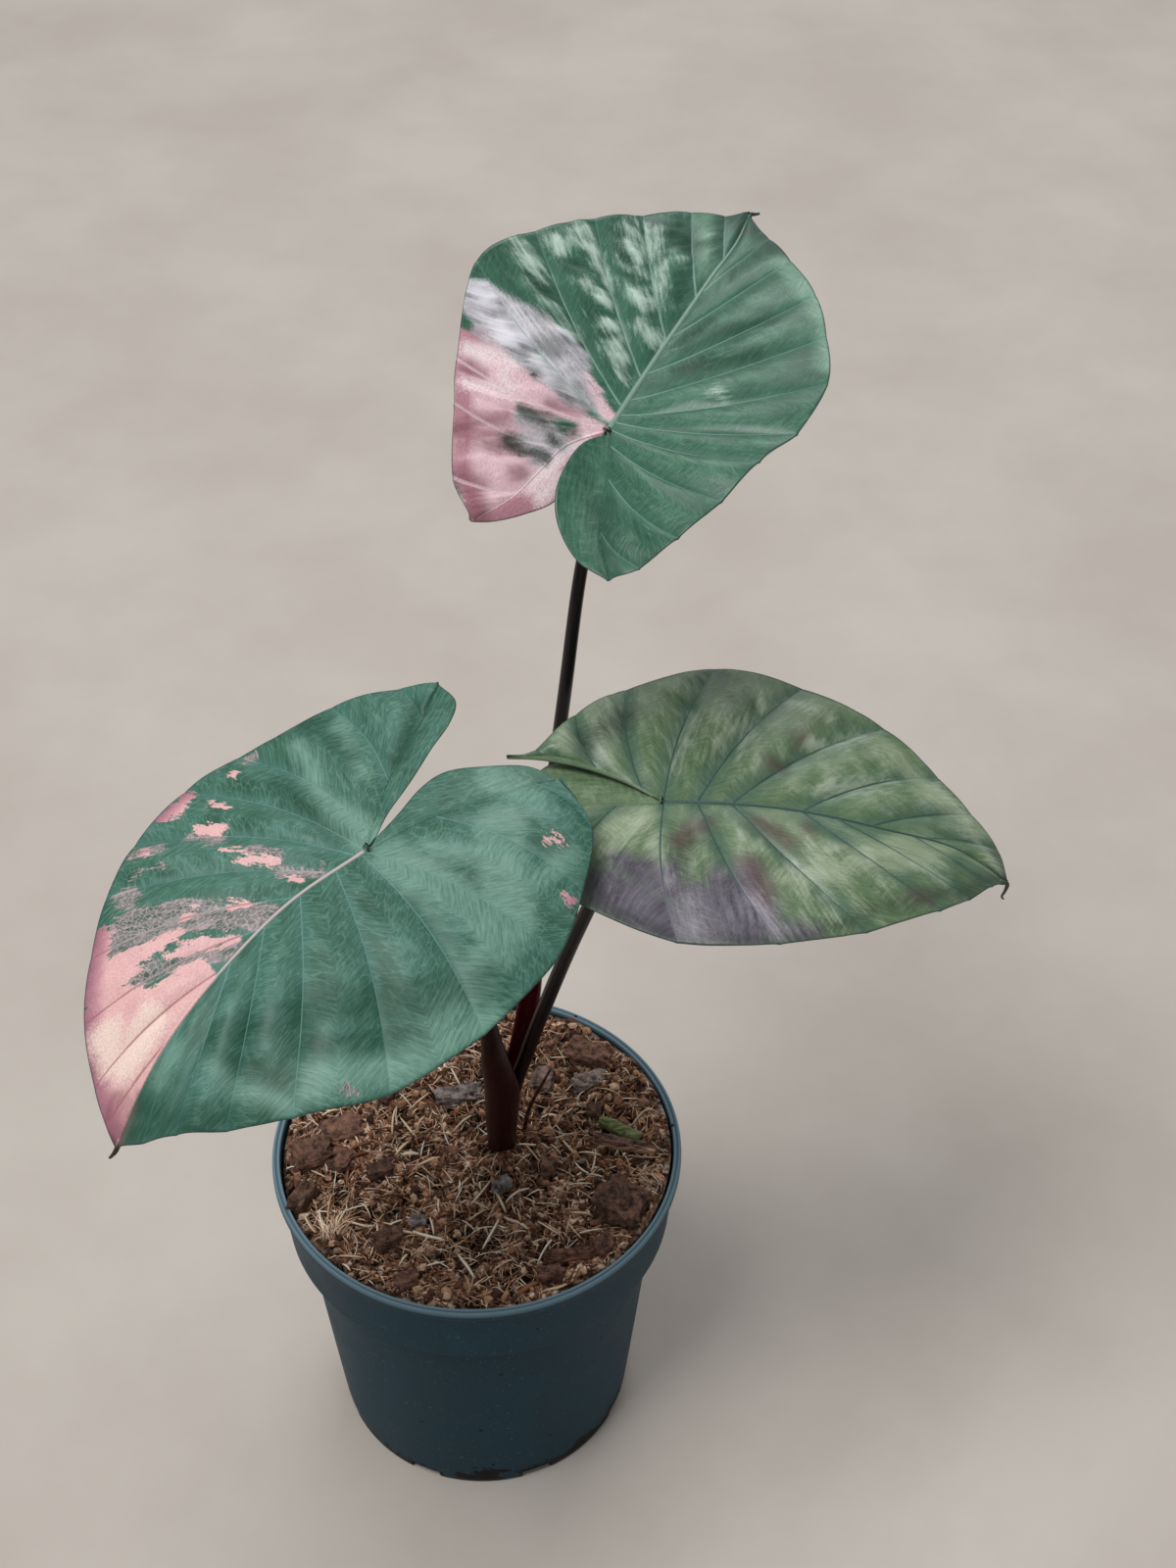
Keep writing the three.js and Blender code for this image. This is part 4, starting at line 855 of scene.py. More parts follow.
def blade_height(leaf, x, y):
    """Lie of a blade: the midrib bows along its length, the halves fold and arch, the lobes rise or drop
    behind the stalk, and the tip may bend down along a crease."""
    along = np.maximum(x, 0) / REACH
    back = np.maximum(-x, 0) / REACH
    across = y / REACH
    side = np.sqrt(across ** 2 + 0.0009) - 0.03
    bowed = leaf["sag"][0] * along ** 2 + leaf["sag"][1] * along ** 3
    halves = leaf["fold"] * side + leaf["crown"] * across ** 2
    rear = leaf["lobes"] * back ** 2 + leaf["flare"] * back * side
    past = x - 69 - 0.9 * np.maximum(-y, 0)
    return REACH * (bowed + halves + rear) - leaf["crease"] * (np.sqrt(past ** 2 + 25) + past) / 2


def spine(leaf, half, sign, station):
    """Where the rows of half a blade start: on the lobe's main vein for stations from -1 to 0, and beyond
    that on the midrib, beside the rib."""
    lobe = [(0, sign * RIB_HALF_WIDTH), *half["lobe"][1:]]
    length = leaf["midrib"][-1][0]
    count = len(leaf["midrib"]) - 1
    fine = np.linspace(0, count, 4001)
    place = np.interp(np.maximum(station, 0), through(leaf["midrib"], fine)[:, 0], fine)
    on_rib = through(leaf["midrib"], place)
    on_rib[:, 1] += sign * RIB_HALF_WIDTH * np.sqrt(np.clip(1 - station / length, 0, 1))
    on_lobe = through(lobe, np.clip(-station, 0, 1) * (len(lobe) - 1))
    return np.where(station[:, None] < 0, on_lobe, on_rib)


def crinkle(leaf_seed, along, over, phase):
    """Wrinkles of the swollen tissue, from -1 to 1: ridges that run aslant between two veins, higher beside
    the vein that is nearer the tip, over slow dents about 15 mm across."""
    slant = lattice_noise(along / 8, (over + 0.35 * along) / 3, leaf_seed)
    small = lattice_noise(along / 4, (over + 0.6 * along) / 1.5, leaf_seed + 1)
    dents = lattice_noise(along / 15 + 3, over / 13 + 5, leaf_seed + 2)
    return (0.72 * slant + 0.28 * small) * (0.6 - 0.4 * np.cos(np.pi * phase)), dents


def half_blade(leaf, half, sign, seed):
    """Half of a blade's upper face as two grids, from the spine out to the margin and from the lobe's vein
    in to the sinus. Each grid point is (x, y, z, a painted shade that is lighter on swollen tissue and
    darker in the hollows, distance to a side vein and to the margin, two places along and across the course
    of the side veins, height of the wrinkles, sign of the half)."""
    veins = np.array(half["veins"], float)
    count = len(veins) - 1
    even = np.arange(count * ROWS_PER_VEIN + 1) / ROWS_PER_VEIN
    t = even - 0.72 * np.sin(2 * np.pi * even) / (2 * np.pi)
    station = np.interp(t, np.arange(count + 1), veins[:, 0])
    station[np.abs(station) < 1e-9] = 0
    start = spine(leaf, half, sign, station)
    end = through(veins[:, 1:], t)
    start[-1] = end[-1] = leaf["midrib"][-1]
    start[0] = end[0] = half["lobe"][-1]
    s = np.linspace(0, 1, COLUMNS)[None, :]
    curve = 0.08 * (1 - t / count)[:, None] * np.sin(np.pi * s)
    run = end - start
    x = start[:, :1] + run[:, :1] * s - curve * np.abs(run[:, 1:])
    y = start[:, 1:] + run[:, 1:] * s + sign * curve * run[:, :1]
    width = np.hypot(run[:, 0], run[:, 1])[:, None]
    step_x = np.gradient(x, t, axis=0)
    step_y = np.gradient(y, t, axis=0)
    unit = run / np.maximum(width, 0.01)
    spacing = np.abs(step_x * unit[:, 1:] - step_y * unit[:, :1])
    phase = (t - np.floor(t))[:, None]
    to_vein = np.abs(t - np.round(t))[:, None] * spacing
    pillow = np.abs(np.sin(np.pi * t))[:, None] ** 0.7
    swell = (1 - (1 - s) ** 5) * (1 - 0.6 * s ** 4)
    relief = leaf["quilt"] * pillow * swell * np.clip(spacing / 12, 0, 1)
    relief = relief + leaf["flutter"] * np.cos(np.pi * t)[:, None] * s ** 3
    over = phase * spacing + VEIN_PITCH * np.floor(t)[:, None]
    ridges, dents = crinkle(seed, s * width, over, phase)
    roomy = swell * np.clip(spacing / 9, 0, 1)
    swollen = pillow * roomy
    ridge = ridges * half["wrinkle"] * np.abs(np.sin(np.pi * t))[:, None] ** 0.3 * roomy
    fine = ridge + leaf["dent"] * dents * swollen
    raised = 0.1 * np.exp(-(to_vein / 0.2) ** 2) * (1 - s ** 3) * np.clip(spacing / 4, 0, 1)
    # A painted shade for the colour: lighter on the swollen tissue and its ridges, darker in the hollows.
    relief_shading = 0.3 + 0.35 * pillow * swell + 0.35 * dents * swollen + 0.25 * ridges * swollen
    z = blade_height(leaf, x, y) + relief + fine + raised
    z[[0, -1]] = blade_height(leaf, x[[0, -1]], y[[0, -1]])
    outer = np.stack([x, y, z, relief_shading, to_vein / half["line"], (1 - s) * width,
                      s * width - 0.7 * to_vein, over, ridge, np.full_like(x, sign)], -1)

    share = -station[station <= 0]
    sinus = [leaf["notch"], *half["sinus"], half["lobe"][-1]]
    inner_end = through(sinus, share * (len(sinus) - 1))
    inner_end[0] = half["lobe"][-1]
    inner_end[-1] = leaf["notch"]
    s = np.linspace(0, 1, SINUS_COLUMNS)[None, :]
    begin = start[:len(share)]
    run = inner_end - begin
    x = begin[:, :1] + run[:, :1] * s
    y = begin[:, 1:] + run[:, 1:] * s
    width = np.hypot(run[:, 0], run[:, 1])[:, None]
    lift = half["over"] * np.sin(np.pi * share)[:, None] ** 0.6
    z = blade_height(leaf, x, y) + lift * s ** 2
    z[:, 0] = outer[:len(share), 0, 2]
    flat = np.zeros_like(x)
    inner = np.stack([x, y, z, flat + 0.5, flat + 6, (1 - s) * width, s * width, flat - 40 * share[:, None],
                      flat, flat + sign], -1)
    return outer, inner, station


def zip_columns(left, right, left_x, right_x):
    """Triangles between two columns of points, taken up in the order of their x."""
    order = np.argsort(np.concatenate([left_x[1:], right_x[1:]]), kind="stable")
    is_left = order < len(left) - 1
    i = np.cumsum(is_left)
    j = np.cumsum(~is_left)
    third = np.where(is_left, left[i], right[j])
    return np.stack([left[np.where(is_left, i - 1, i)], right[np.where(is_left, j, j - 1)], third], -1)


def as_triangles(quads):
    """Each four-sided face as two triangles."""
    return np.concatenate([quads[:, [0, 1, 2]], quads[:, [0, 2, 3]]])


def upper_face(leaf, seed):
    """The whole upper face of a blade: its four grids, the strip along the midrib and the bridge at the
    notch, with points that lie together merged."""
    parts = []
    faces = []
    count = 0
    columns = {}
    for side, sign in (("left", 1), ("right", -1)):
        outer, inner, station = half_blade(leaf, leaf[side], sign, seed + sign)
        index = count + np.arange(outer.shape[0] * outer.shape[1]).reshape(outer.shape[:2])
        quads = grid_faces(*outer.shape[:2])
        faces.append(as_triangles(quads[:, ::-1] if sign > 0 else quads) + count)
        parts.append(outer.reshape(-1, 10))
        count += index.size
        notch_row = count + (inner.shape[0] - 1) * SINUS_COLUMNS + np.arange(SINUS_COLUMNS)
        quads = grid_faces(*inner.shape[:2])
        faces.append(as_triangles(quads if sign > 0 else quads[:, ::-1]) + count)
        parts.append(inner.reshape(-1, 10))
        count += inner.shape[0] * inner.shape[1]
        on_rib = index[station >= 0, 0]
        columns[side] = (on_rib, outer[station >= 0, 0, 0], notch_row)
    left, right = columns["left"], columns["right"]
    faces.append(zip_columns(left[0], right[0], left[1], right[1]))
    bridge = np.stack([left[2], right[2]])
    faces.append(as_triangles(bridge.ravel()[grid_faces(2, SINUS_COLUMNS)])[:, ::-1])
    everything = np.concatenate(parts)
    _, kept, merged = np.unique(everything[:, :3], axis=0, return_index=True, return_inverse=True)
    triangles = merged.ravel()[np.concatenate(faces)]
    real = ((triangles[:, 0] != triangles[:, 1]) & (triangles[:, 1] != triangles[:, 2])
            & (triangles[:, 2] != triangles[:, 0]))
    return everything[kept], triangles[real]


def corner_normals(points, triangles):
    """Unit normals at the points, from the triangles round each by their area."""
    a, b, c = (points[triangles[:, k]] for k in range(3))
    flat = np.cross(b - a, c - a)
    total = np.zeros_like(points)
    for k in range(3):
        np.add.at(total, triangles[:, k], flat)
    return total / np.maximum(np.linalg.norm(total, axis=1, keepdims=True), 1e-9)


def thickened(points, triangles, thickness):
    """A closed leaf: the upper face, a lower face set in along the normals, and a wall round the edge."""
    normals = corner_normals(points, triangles)
    count = len(points)
    edges = np.concatenate([triangles[:, [0, 1]], triangles[:, [1, 2]], triangles[:, [2, 0]]])
    forwards = edges[:, 0] * count + edges[:, 1]
    backwards = edges[:, 1] * count + edges[:, 0]
    rim = edges[~np.isin(forwards, backwards)]
    wall = np.stack([rim[:, 0], rim[:, 0] + count, rim[:, 1] + count, rim[:, 1]], -1)
    lower = points - normals * thickness[:, None]
    closed = [triangles, triangles[:, ::-1] + count, as_triangles(wall)]
    return np.concatenate([points, lower]), np.concatenate(closed)


def marks(x, y, side, strokes):
    """How deep a place lies in a marking, in millimetres: each stroke runs from (x0, y0) to (x1, y1) with a
    radius at each end, stops at the midrib, and the deepest stroke counts."""
    depth = np.full_like(x, -20.0)
    for x0, y0, x1, y1, r0, r1 in strokes:
        run_x, run_y = x1 - x0, y1 - y0
        share = ((x - x0) * run_x + (y - y0) * run_y) / max(run_x ** 2 + run_y ** 2, 1e-9)
        share = np.clip(share, 0, 1)
        away = np.hypot(x - x0 - share * run_x, y - y0 - share * run_y)
        inside = r0 + (r1 - r0) * share - away
        depth = np.maximum(depth, np.minimum(inside, side * np.sign(y0) + 0.3))
    return depth


# Strokes that paint a marking, in millimetres on the flat leaf: x0, y0, x1, y1 and the radius at each end.
# The dark strokes paint dark pigment spots and painted shade in hollows and under curled edges, the bright
# strokes paler tissue and painted highlights, and the gleam strokes painted highlights.
MARKINGS = {
    "front": {
        "pink": ((58, -5, 73, -8, 6, 7), (77, -12, 86, -8, 11, 12), (87, -7, 97, -1, 9.5, 6),
                 (60, -3, 97, -1, 4, 6), (74, -25, 85, -17, 5, 5), (67, -36, 75, -28, 3.5, 5.5),
                 (51, -19, 58, -22, 1.5, 2.3), (58, -22, 68, -26, 2.3, 4.7), (42, -6, 51, -13, 1.5, 2),
                 (51, -13, 57, -16, 2, 1.7), (64, -38, 64, -38, 3.4, 3.4), (23, -43, 20, -37, 1.8, 1.8),
                 (24, -30, 22, -27, 1, 1), (24, -23, 19, -16, 1.6, 1.6), (36, -14, 33, -11, 1.3, 1.2),
                 (16.5, -55.5, 19.5, -54, 1.7, 1.5), (22, -55, 27, -55, 2.1, 1.7),
                 (20, -53, 23, -52, 1, 1.2), (15, -47, 13, -42, 0.8, 1), (38, -49, 38, -49, 1.6, 1.6),
                 (43, -21, 46, -22, 0.8, 0.8), (19, -8, 18, -6, 1.2, 0.9), (3, -51, 3, -51, 1.4, 1.4),
                 (-36, 34, -38, 37, 1.3, 1.3), (-28, 48, -28, 50, 0.9, 0.9)),
        "ash": ((32, -4, 45, -20, 4.3, 4.9), (45, -20, 57, -32, 4.9, 6.6), (57, -32, 63, -33, 6.6, 4.6),
                (44, -3, 54, -11, 2.3, 2.7), (54, -11, 63, -17, 2.7, 3.4), (63, -17, 70, -19, 3.4, 2.5),
                (70, -19, 76, -20, 2.5, 1.9), (68, -13, 68, -13, 1.4, 1.4), (51, -41, 51, -41, 4, 4),
                (35, -47, 39, -51, 2.3, 2.3), (26, -42, 23, -35, 2.3, 2.5), (20, -24, 17, -16, 2.1, 1.9),
                (20, -12, 13, -4, 2, 1.6), (38, -40, 44, -45, 0.6, 0.8), (26, -1, 32, -2, 1.1, 2.8),
                (52, 44, 51, 46, 1.1, 1.1), (-5, -53, -3, -52, 1.5, 1.5)),
        "shade": (),
        "cream": ((84, -6, 72, -7, 4.5, 4.5), (86, -9, 82, -15, 3, 5)),
        "rose": ((92, 0, 99, 3, 3.5, 3),),
        "dark": ((67, 16, 60, 32, 3.3, 3.5), (50, 31, 40, 39, 3.6, 3.6), (94, 7, 70, 34, 3, 2.6),
                 (67, 12, 68, 18, 2.4, 2.4), (-22, -47, -20, -26, 3.4, 3.4), (-1, -37, 1, -9, 2.4, 2.4),
                 (-42, -22, -28, -14, 3, 2.7), (63.9, 11.1, 40.7, 25.8, 4.6, 5.6),
                 (40.7, 25.8, 18.9, 43.5, 5.6, 5.6), (18.9, 43.5, 3.1, 49.5, 5.6, 4.1),
                 (53.2, 27.6, 27.1, 47.8, 3, 3), (89.6, 0.8, 87.5, 10.2, 3, 3.6),
                 (87.5, 10.2, 82.5, 22.1, 3.6, 3.6)),
        "bright": ((70, 15, 70, 23, 2, 2.2), (70, 23, 64, 36, 2.8, 2.8), (59, 35, 36, 51, 4.3, 4),
                   (36, 51, 10, 57, 4, 3), (73, 3, 81, 5, 1.6, 1.8), (-4.2, -14.8, -3.5, 7, 4.6, 5.6),
                   (-3.5, 7, -8.8, 41.9, 5.6, 5.8), (-38, 11, -42, 24, 3.8, 3.4),
                   (-12, 12, -22, 27, 2.4, 2.4), (-15, -43, -2, -15, 2.4, 2.4),
                   (-26, -37, -18, -19, 2.4, 2), (-5, 31, -4, 48, 3, 3), (-30, 22, -12, 42, 7, 7.5),
                   (-2, 46, 30, 50, 5, 4), (-21, 39, -37, 41, 2.8, 2.4)),
        "gleam": (),
    },
    "top": {
        "pink": ((-6, 42, -19, 32, 6.6, 8.2), (-19, 32, -34, 18, 8.2, 7.1), (-7, 34, -4, 15, 8.2, 3.3),
                 (-4, 15, 0, 2, 2.8, 0.8), (-20, 28, -30, 21, 8.9, 8.9), (-30, 21, -39, 17, 8.6, 5),
                 (-18, 17, -17, 8, 10.6, 5.5), (-32, 15, -20, 7, 6.6, 5.6), (-20, 7, -4, 3.6, 4.8, 2.6),
                 (-38, 16, -43, 17, 5, 5), (-42, 13, -24, 5, 5, 5), (-24, 5, -4, 3, 5, 4),
                 (8, 10, 4, 1.5, 1.3, 1.5), (11, 13, 9, 8, 0.9, 1.2)),
        "ash": ((11, 43.5, 10, 33, 6.9, 7.5), (10, 33, 9, 20, 8.7, 8.7), (9, 20, 6, 9, 7.5, 4.1),
                (6, 9, 3, 2.4, 3.5, 1.2), (6.6, 26, 4, 15, 6.9, 4.6), (2, 38, 0, 24, 5, 5),
                (0, 24, 0, 10, 4, 3), (5, 16, 4, 9, 3.5, 3)),
        "shade": ((-13, 19, -12, 9, 2.7, 3.2), (-17, 15, -17, 10, 3.2, 1.6),
                  (-21, 11.5, -19, 10, 1.3, 1.3)),
        "cream": ((-26, 9, -7, 4.5, 2.2, 2), (-27, 6, -20, 4, 2.4, 2.4), (-4, 40, 1, 27, 2.4, 2),
                  (-5, 29, -7, 26, 2, 2), (-13, 36, -9, 28, 1.8, 1.8)),
        "rose": ((-26, 32, -21, 20, 2.8, 3.4), (-8, 38, -8, 35, 2, 2), (-4, 16, -1, 9, 1.6, 1.3),
                 (-37, 21, -42, 17, 3.4, 4), (-27, 14, -25, 12, 1.8, 1.5), (1, 40, 3, 35, 2, 2.2),
                 (-22, 30, -15, 23, 2.2, 2.2), (-35, 25, -34, 20, 2.2, 2.2), (96, 1, 94, -1, 1.6, 1.3)),
        "dark": ((-11, 19.5, -7, 8, 2.7, 2.3), (-20, 19.5, -20, 16.5, 2.6, 2.4),
                 (-20.5, 16, -17.5, 10, 2.1, 1.6), (-12, 11, -12, 9, 1.2, 1.2), (19, 30, 22, 26, 1.4, 1.4),
                 (10, 27, 11.5, 22.5, 2.5, 2.5), (14, 23, 19, 20, 2.1, 1.7), (3, 27, 1.5, 23, 1.6, 1.6),
                 (2, 16, 1, 13, 1.8, 1.5), (5.5, 13, 2.5, 7, 1.4, 1.1), (6.6, 32, 5.4, 29, 1.2, 1.2),
                 (71, 21, 74, 13, 4, 4.7), (98, 12, 101, 5, 5, 4.7), (90, -9, 106, 4, 5, 4.5),
                 (100, 0, 92, -9, 6, 5), (93, -6, 84, -15, 3, 2), (101.5, 13.6, 97.4, -1.2, 6.5, 6.5),
                 (28, -9, 38, -25, 2.7, 2.2), (44, -12, 52, -21, 2.6, 2.3), (37, -4, 46, -6, 2, 2),
                 (27.5, 37, 25, 31, 2.4, 2.2), (101, -1, 90, -10, 4, 3), (-18, -2, -40, -22, 1.4, 1.4)),
        "bright": ((74, -23, 57, -37, 4.2, 3.6), (82, -14, 74, -23, 3, 4.6), (91, 15, 66, 2, 2.4, 2.4),
                   (55, -37, 38, -45, 1.8, 1.8)),
        "gleam": ((51, 37, 48.5, 32.5, 2, 2), (48.5, 32, 40.5, 21, 2.2, 1.6),
                  (37, 26.5, 35.5, 19, 1.2, 0.9), (29.5, 19.5, 26, 11, 1.7, 1.5),
                  (23, 12, 18, 4.5, 1.9, 1.4), (62, 26, 54, 21.5, 2.1, 2.1), (68, 25.5, 62, 20.5, 2, 2),
                  (55, 20.5, 41, 10, 1.7, 1.4), (36, 7.5, 34.5, 3, 2.3, 2), (42.5, 40.5, 41, 36, 1.7, 1.7),
                  (35, 46, 28.5, 38, 1.5, 1.4), (68, 21, 46, 8, 1.3, 1.1), (13, 46.5, 4, 34, 2.8, 2.5),
                  (6, 26, 4, 22, 1.2, 1), (19, 23, 19, 21, 1.1, 0.9), (14, 34, 6.5, 26, 1.1, 0.9),
                  (21, -21, 18.5, -24.5, 0.4, 0.3)),
    },
    "right": {
        "pink": (),
        "ash": ((-8, -25, 10, -34, 4, 5), (10, -34, 24, -38, 6, 6), (24, -25, 30, -40, 4.5, 5),
                (-13, -32, 4, -41, 7.4, 7), (4, -41, 25, -41, 7, 6.4), (18, -28, 28, -37, 5.3, 6.3),
                (-11, -23, 2, -26, 3.8, 4.1), (34, -41.5, 42.5, -41, 3, 2)),
        "shade": (),
        "cream": (),
        "rose": ((5, -15, 11.5, -8, 2.3, 2.9), (27.5, -6, 36.5, -13, 2.6, 2.3), (38, 23, 39.5, 25, 2, 2),
                 (25, -21.5, 29.5, -30.5, 3.1, 2.9), (30, 14.5, 33, 14, 1.5, 1.5),
                 (72, -21, 75, -21, 1.8, 1.4), (41, -6.5, 42, -7.5, 1.6, 1.6)),
        "dark": ((-19, -29, -15, -38, 2.8, 2.8), (-15, -38, 10, -47, 2, 1.7),
                 (10, -47, 37, -44.5, 1.7, 1.5), (37, -44.5, 87, -13, 1.5, 2), (87, -12, 98, -2, 2.4, 2.2),
                 (94, 6, 99, 3.6, 1.6, 1.6), (-11.9, 29.6, -22.5, 17.6, 3.9, 3.9),
                 (4.7, -24.6, 6.8, -11, 3.6, 3)),
        "bright": ((-13, -12, -5, -6, 4.3, 3.7), (-2, -12, 1, -32, 3.1, 2.8), (-15, -20, -6, -9, 2.2, 2),
                   (56.4, -14.1, 70.6, -6, 5, 6.3), (70.6, -6, 83.9, 6.5, 6.3, 3.8),
                   (34.5, -25.2, 48.1, -19.5, 3, 3.6), (62.3, 29, 79.7, 14.6, 2.7, 3),
                   (79.7, 14.6, 91.5, 10.2, 3, 2.4)),
        "gleam": ((-1.5, -16, 2.5, -29, 1.9, 1.7), (-15, -20, -6, -9, 1.6, 1.4),
                  (7, 29, 2.5, 11, 1.2, 1.1), (18.5, 28, 12, 14.5, 1.2, 1.1), (26.5, 35, 21, 17, 1.1, 1),
                  (40.5, 21.5, 57, 29, 1.6, 1.5), (45, 7, 66, 16, 1.1, 1.2),
                  (26.5, -32.5, 34, -43, 2.2, 1.6), (36.5, -19, 42.5, -38.5, 1.2, 1.1),
                  (42, -14.5, 48, -34, 1.2, 1.1), (48, -13.5, 55.5, -29, 1.2, 1.1),
                  (57, -11, 63, -24, 1.2, 1), (66, -8.5, 79.5, -12, 1.2, 1),
                  (88.5, 8.5, 95.5, 2, 1.5, 1.3), (78.5, 20, 88, 12, 1.6, 1.2),
                  (35.5, 38, 48, 34.5, 1.3, 1.1)),
    },
}
# Colours of each leaf's tissue and of the highlights and shade painted on it, and how strongly its nets,
# cracks, painted highlights and veins show.
LEAF_COLOURS = {
    "front": {
        "deep": "#1a3c28", "green": "#3f6b5a", "pale": "#679186", "bright": "#8bb3a2",
        "vein": "#7fa698", "bloom": "#4b7a6f", "rib": "#cbbdbb", "rib_reach": 62.0, "edge": "#a2707e",
        "pink_low": "#cd949e", "pink": "#ecbcb9", "pink_high": "#fadfd2", "pink_vein": "#aa6f6e",
        "rose": "#8a525c", "net": 0.23, "crackle": 0.75, "ash_span": (0.44, 0.74), "gloss": 0.6,
        "vein_share": 0.5, "ash": "#44604f", "ash_pale": "#cdb3ba", "gleam": "#86ae9a",
        "silver": "#d5ccd0", "dark": "#0b3d28", "tip": "#2b1f1c", "coat": 0.06, "roughness": 0.45,
        "jag": 9.0, "soft": 0.4},
    "top": {
        "deep": "#1b3e30", "green": "#38634f", "pale": "#628e77", "bright": "#8cb298",
        "vein": "#86a998", "bloom": "#3e6d5b", "rib": "#7c998c", "rib_reach": 107.0, "edge": "#b98691",
        "pink_low": "#bd8693", "pink": "#efcad1", "pink_high": "#f5e2e4", "pink_vein": "#e3cbd0",
        "rose": "#8b5560", "net": 0.08, "crackle": 0.3, "ash_span": (0.38, 0.62), "gloss": 0.9,
        "vein_share": 0.75, "ash": "#7d8084", "ash_pale": "#e0dade", "gleam": "#c4d9cb",
        "silver": "#e6e3ea", "dark": "#0c3021", "tip": "#2d3a3a", "coat": 0.3, "roughness": 0.34,
        "jag": 1.5, "soft": 1.1},
    "right": {
        "deep": "#3a5639", "green": "#647c59", "pale": "#9fad95", "bright": "#a8b596",
        "vein": "#30514c", "bloom": "#436459", "rib": "#33504c", "rib_reach": 99.0, "edge": "#3a3d45",
        "pink_low": "#8b6a66", "pink": "#b08e80", "pink_high": "#c9a795", "pink_vein": "#8b6a66",
        "rose": "#5d4743", "net": 0.07, "crackle": 0.25, "ash_span": (0.4, 0.66), "gloss": 0.6,
        "vein_share": 0.9, "ash": "#433e47", "ash_pale": "#857f89", "gleam": "#b9c4ae",
        "silver": "#a89fa8", "dark": "#1a2420", "tip": "#15191a", "coat": 0.3, "roughness": 0.34,
        "jag": 1.5, "soft": 3.0},
}
LEAF_RIM = "#3c4a4c"
# Noises of the tissue: the map they lie in, the size of their lumps across and along in millimetres, their
# detail and their roughness.
TISSUE = {
    "cloud": ("plane", 9, 9, 8, 0.66), "grain": ("plane", 0.6, 0.6, 3, 0.6),
    "mottle": ("plane", 6, 6, 8, 0.68), "streak": ("course", 0.9, 6, 4, 0.7),
    "run": ("course", 16, 3.2, 5, 0.7), "jag": ("course", 3.5, 1.3, 4, 0.7),
    "wrinkles": ("course", 7, 1.3, 4, 0.65),
}
# Nets of fine veins and of cracks: the size of their cells across and along, and how wide their lines are.
NETS = {"cross_veins": (1.5, 5, 0.09), "crackle": (1.4, 1, 0.16)}


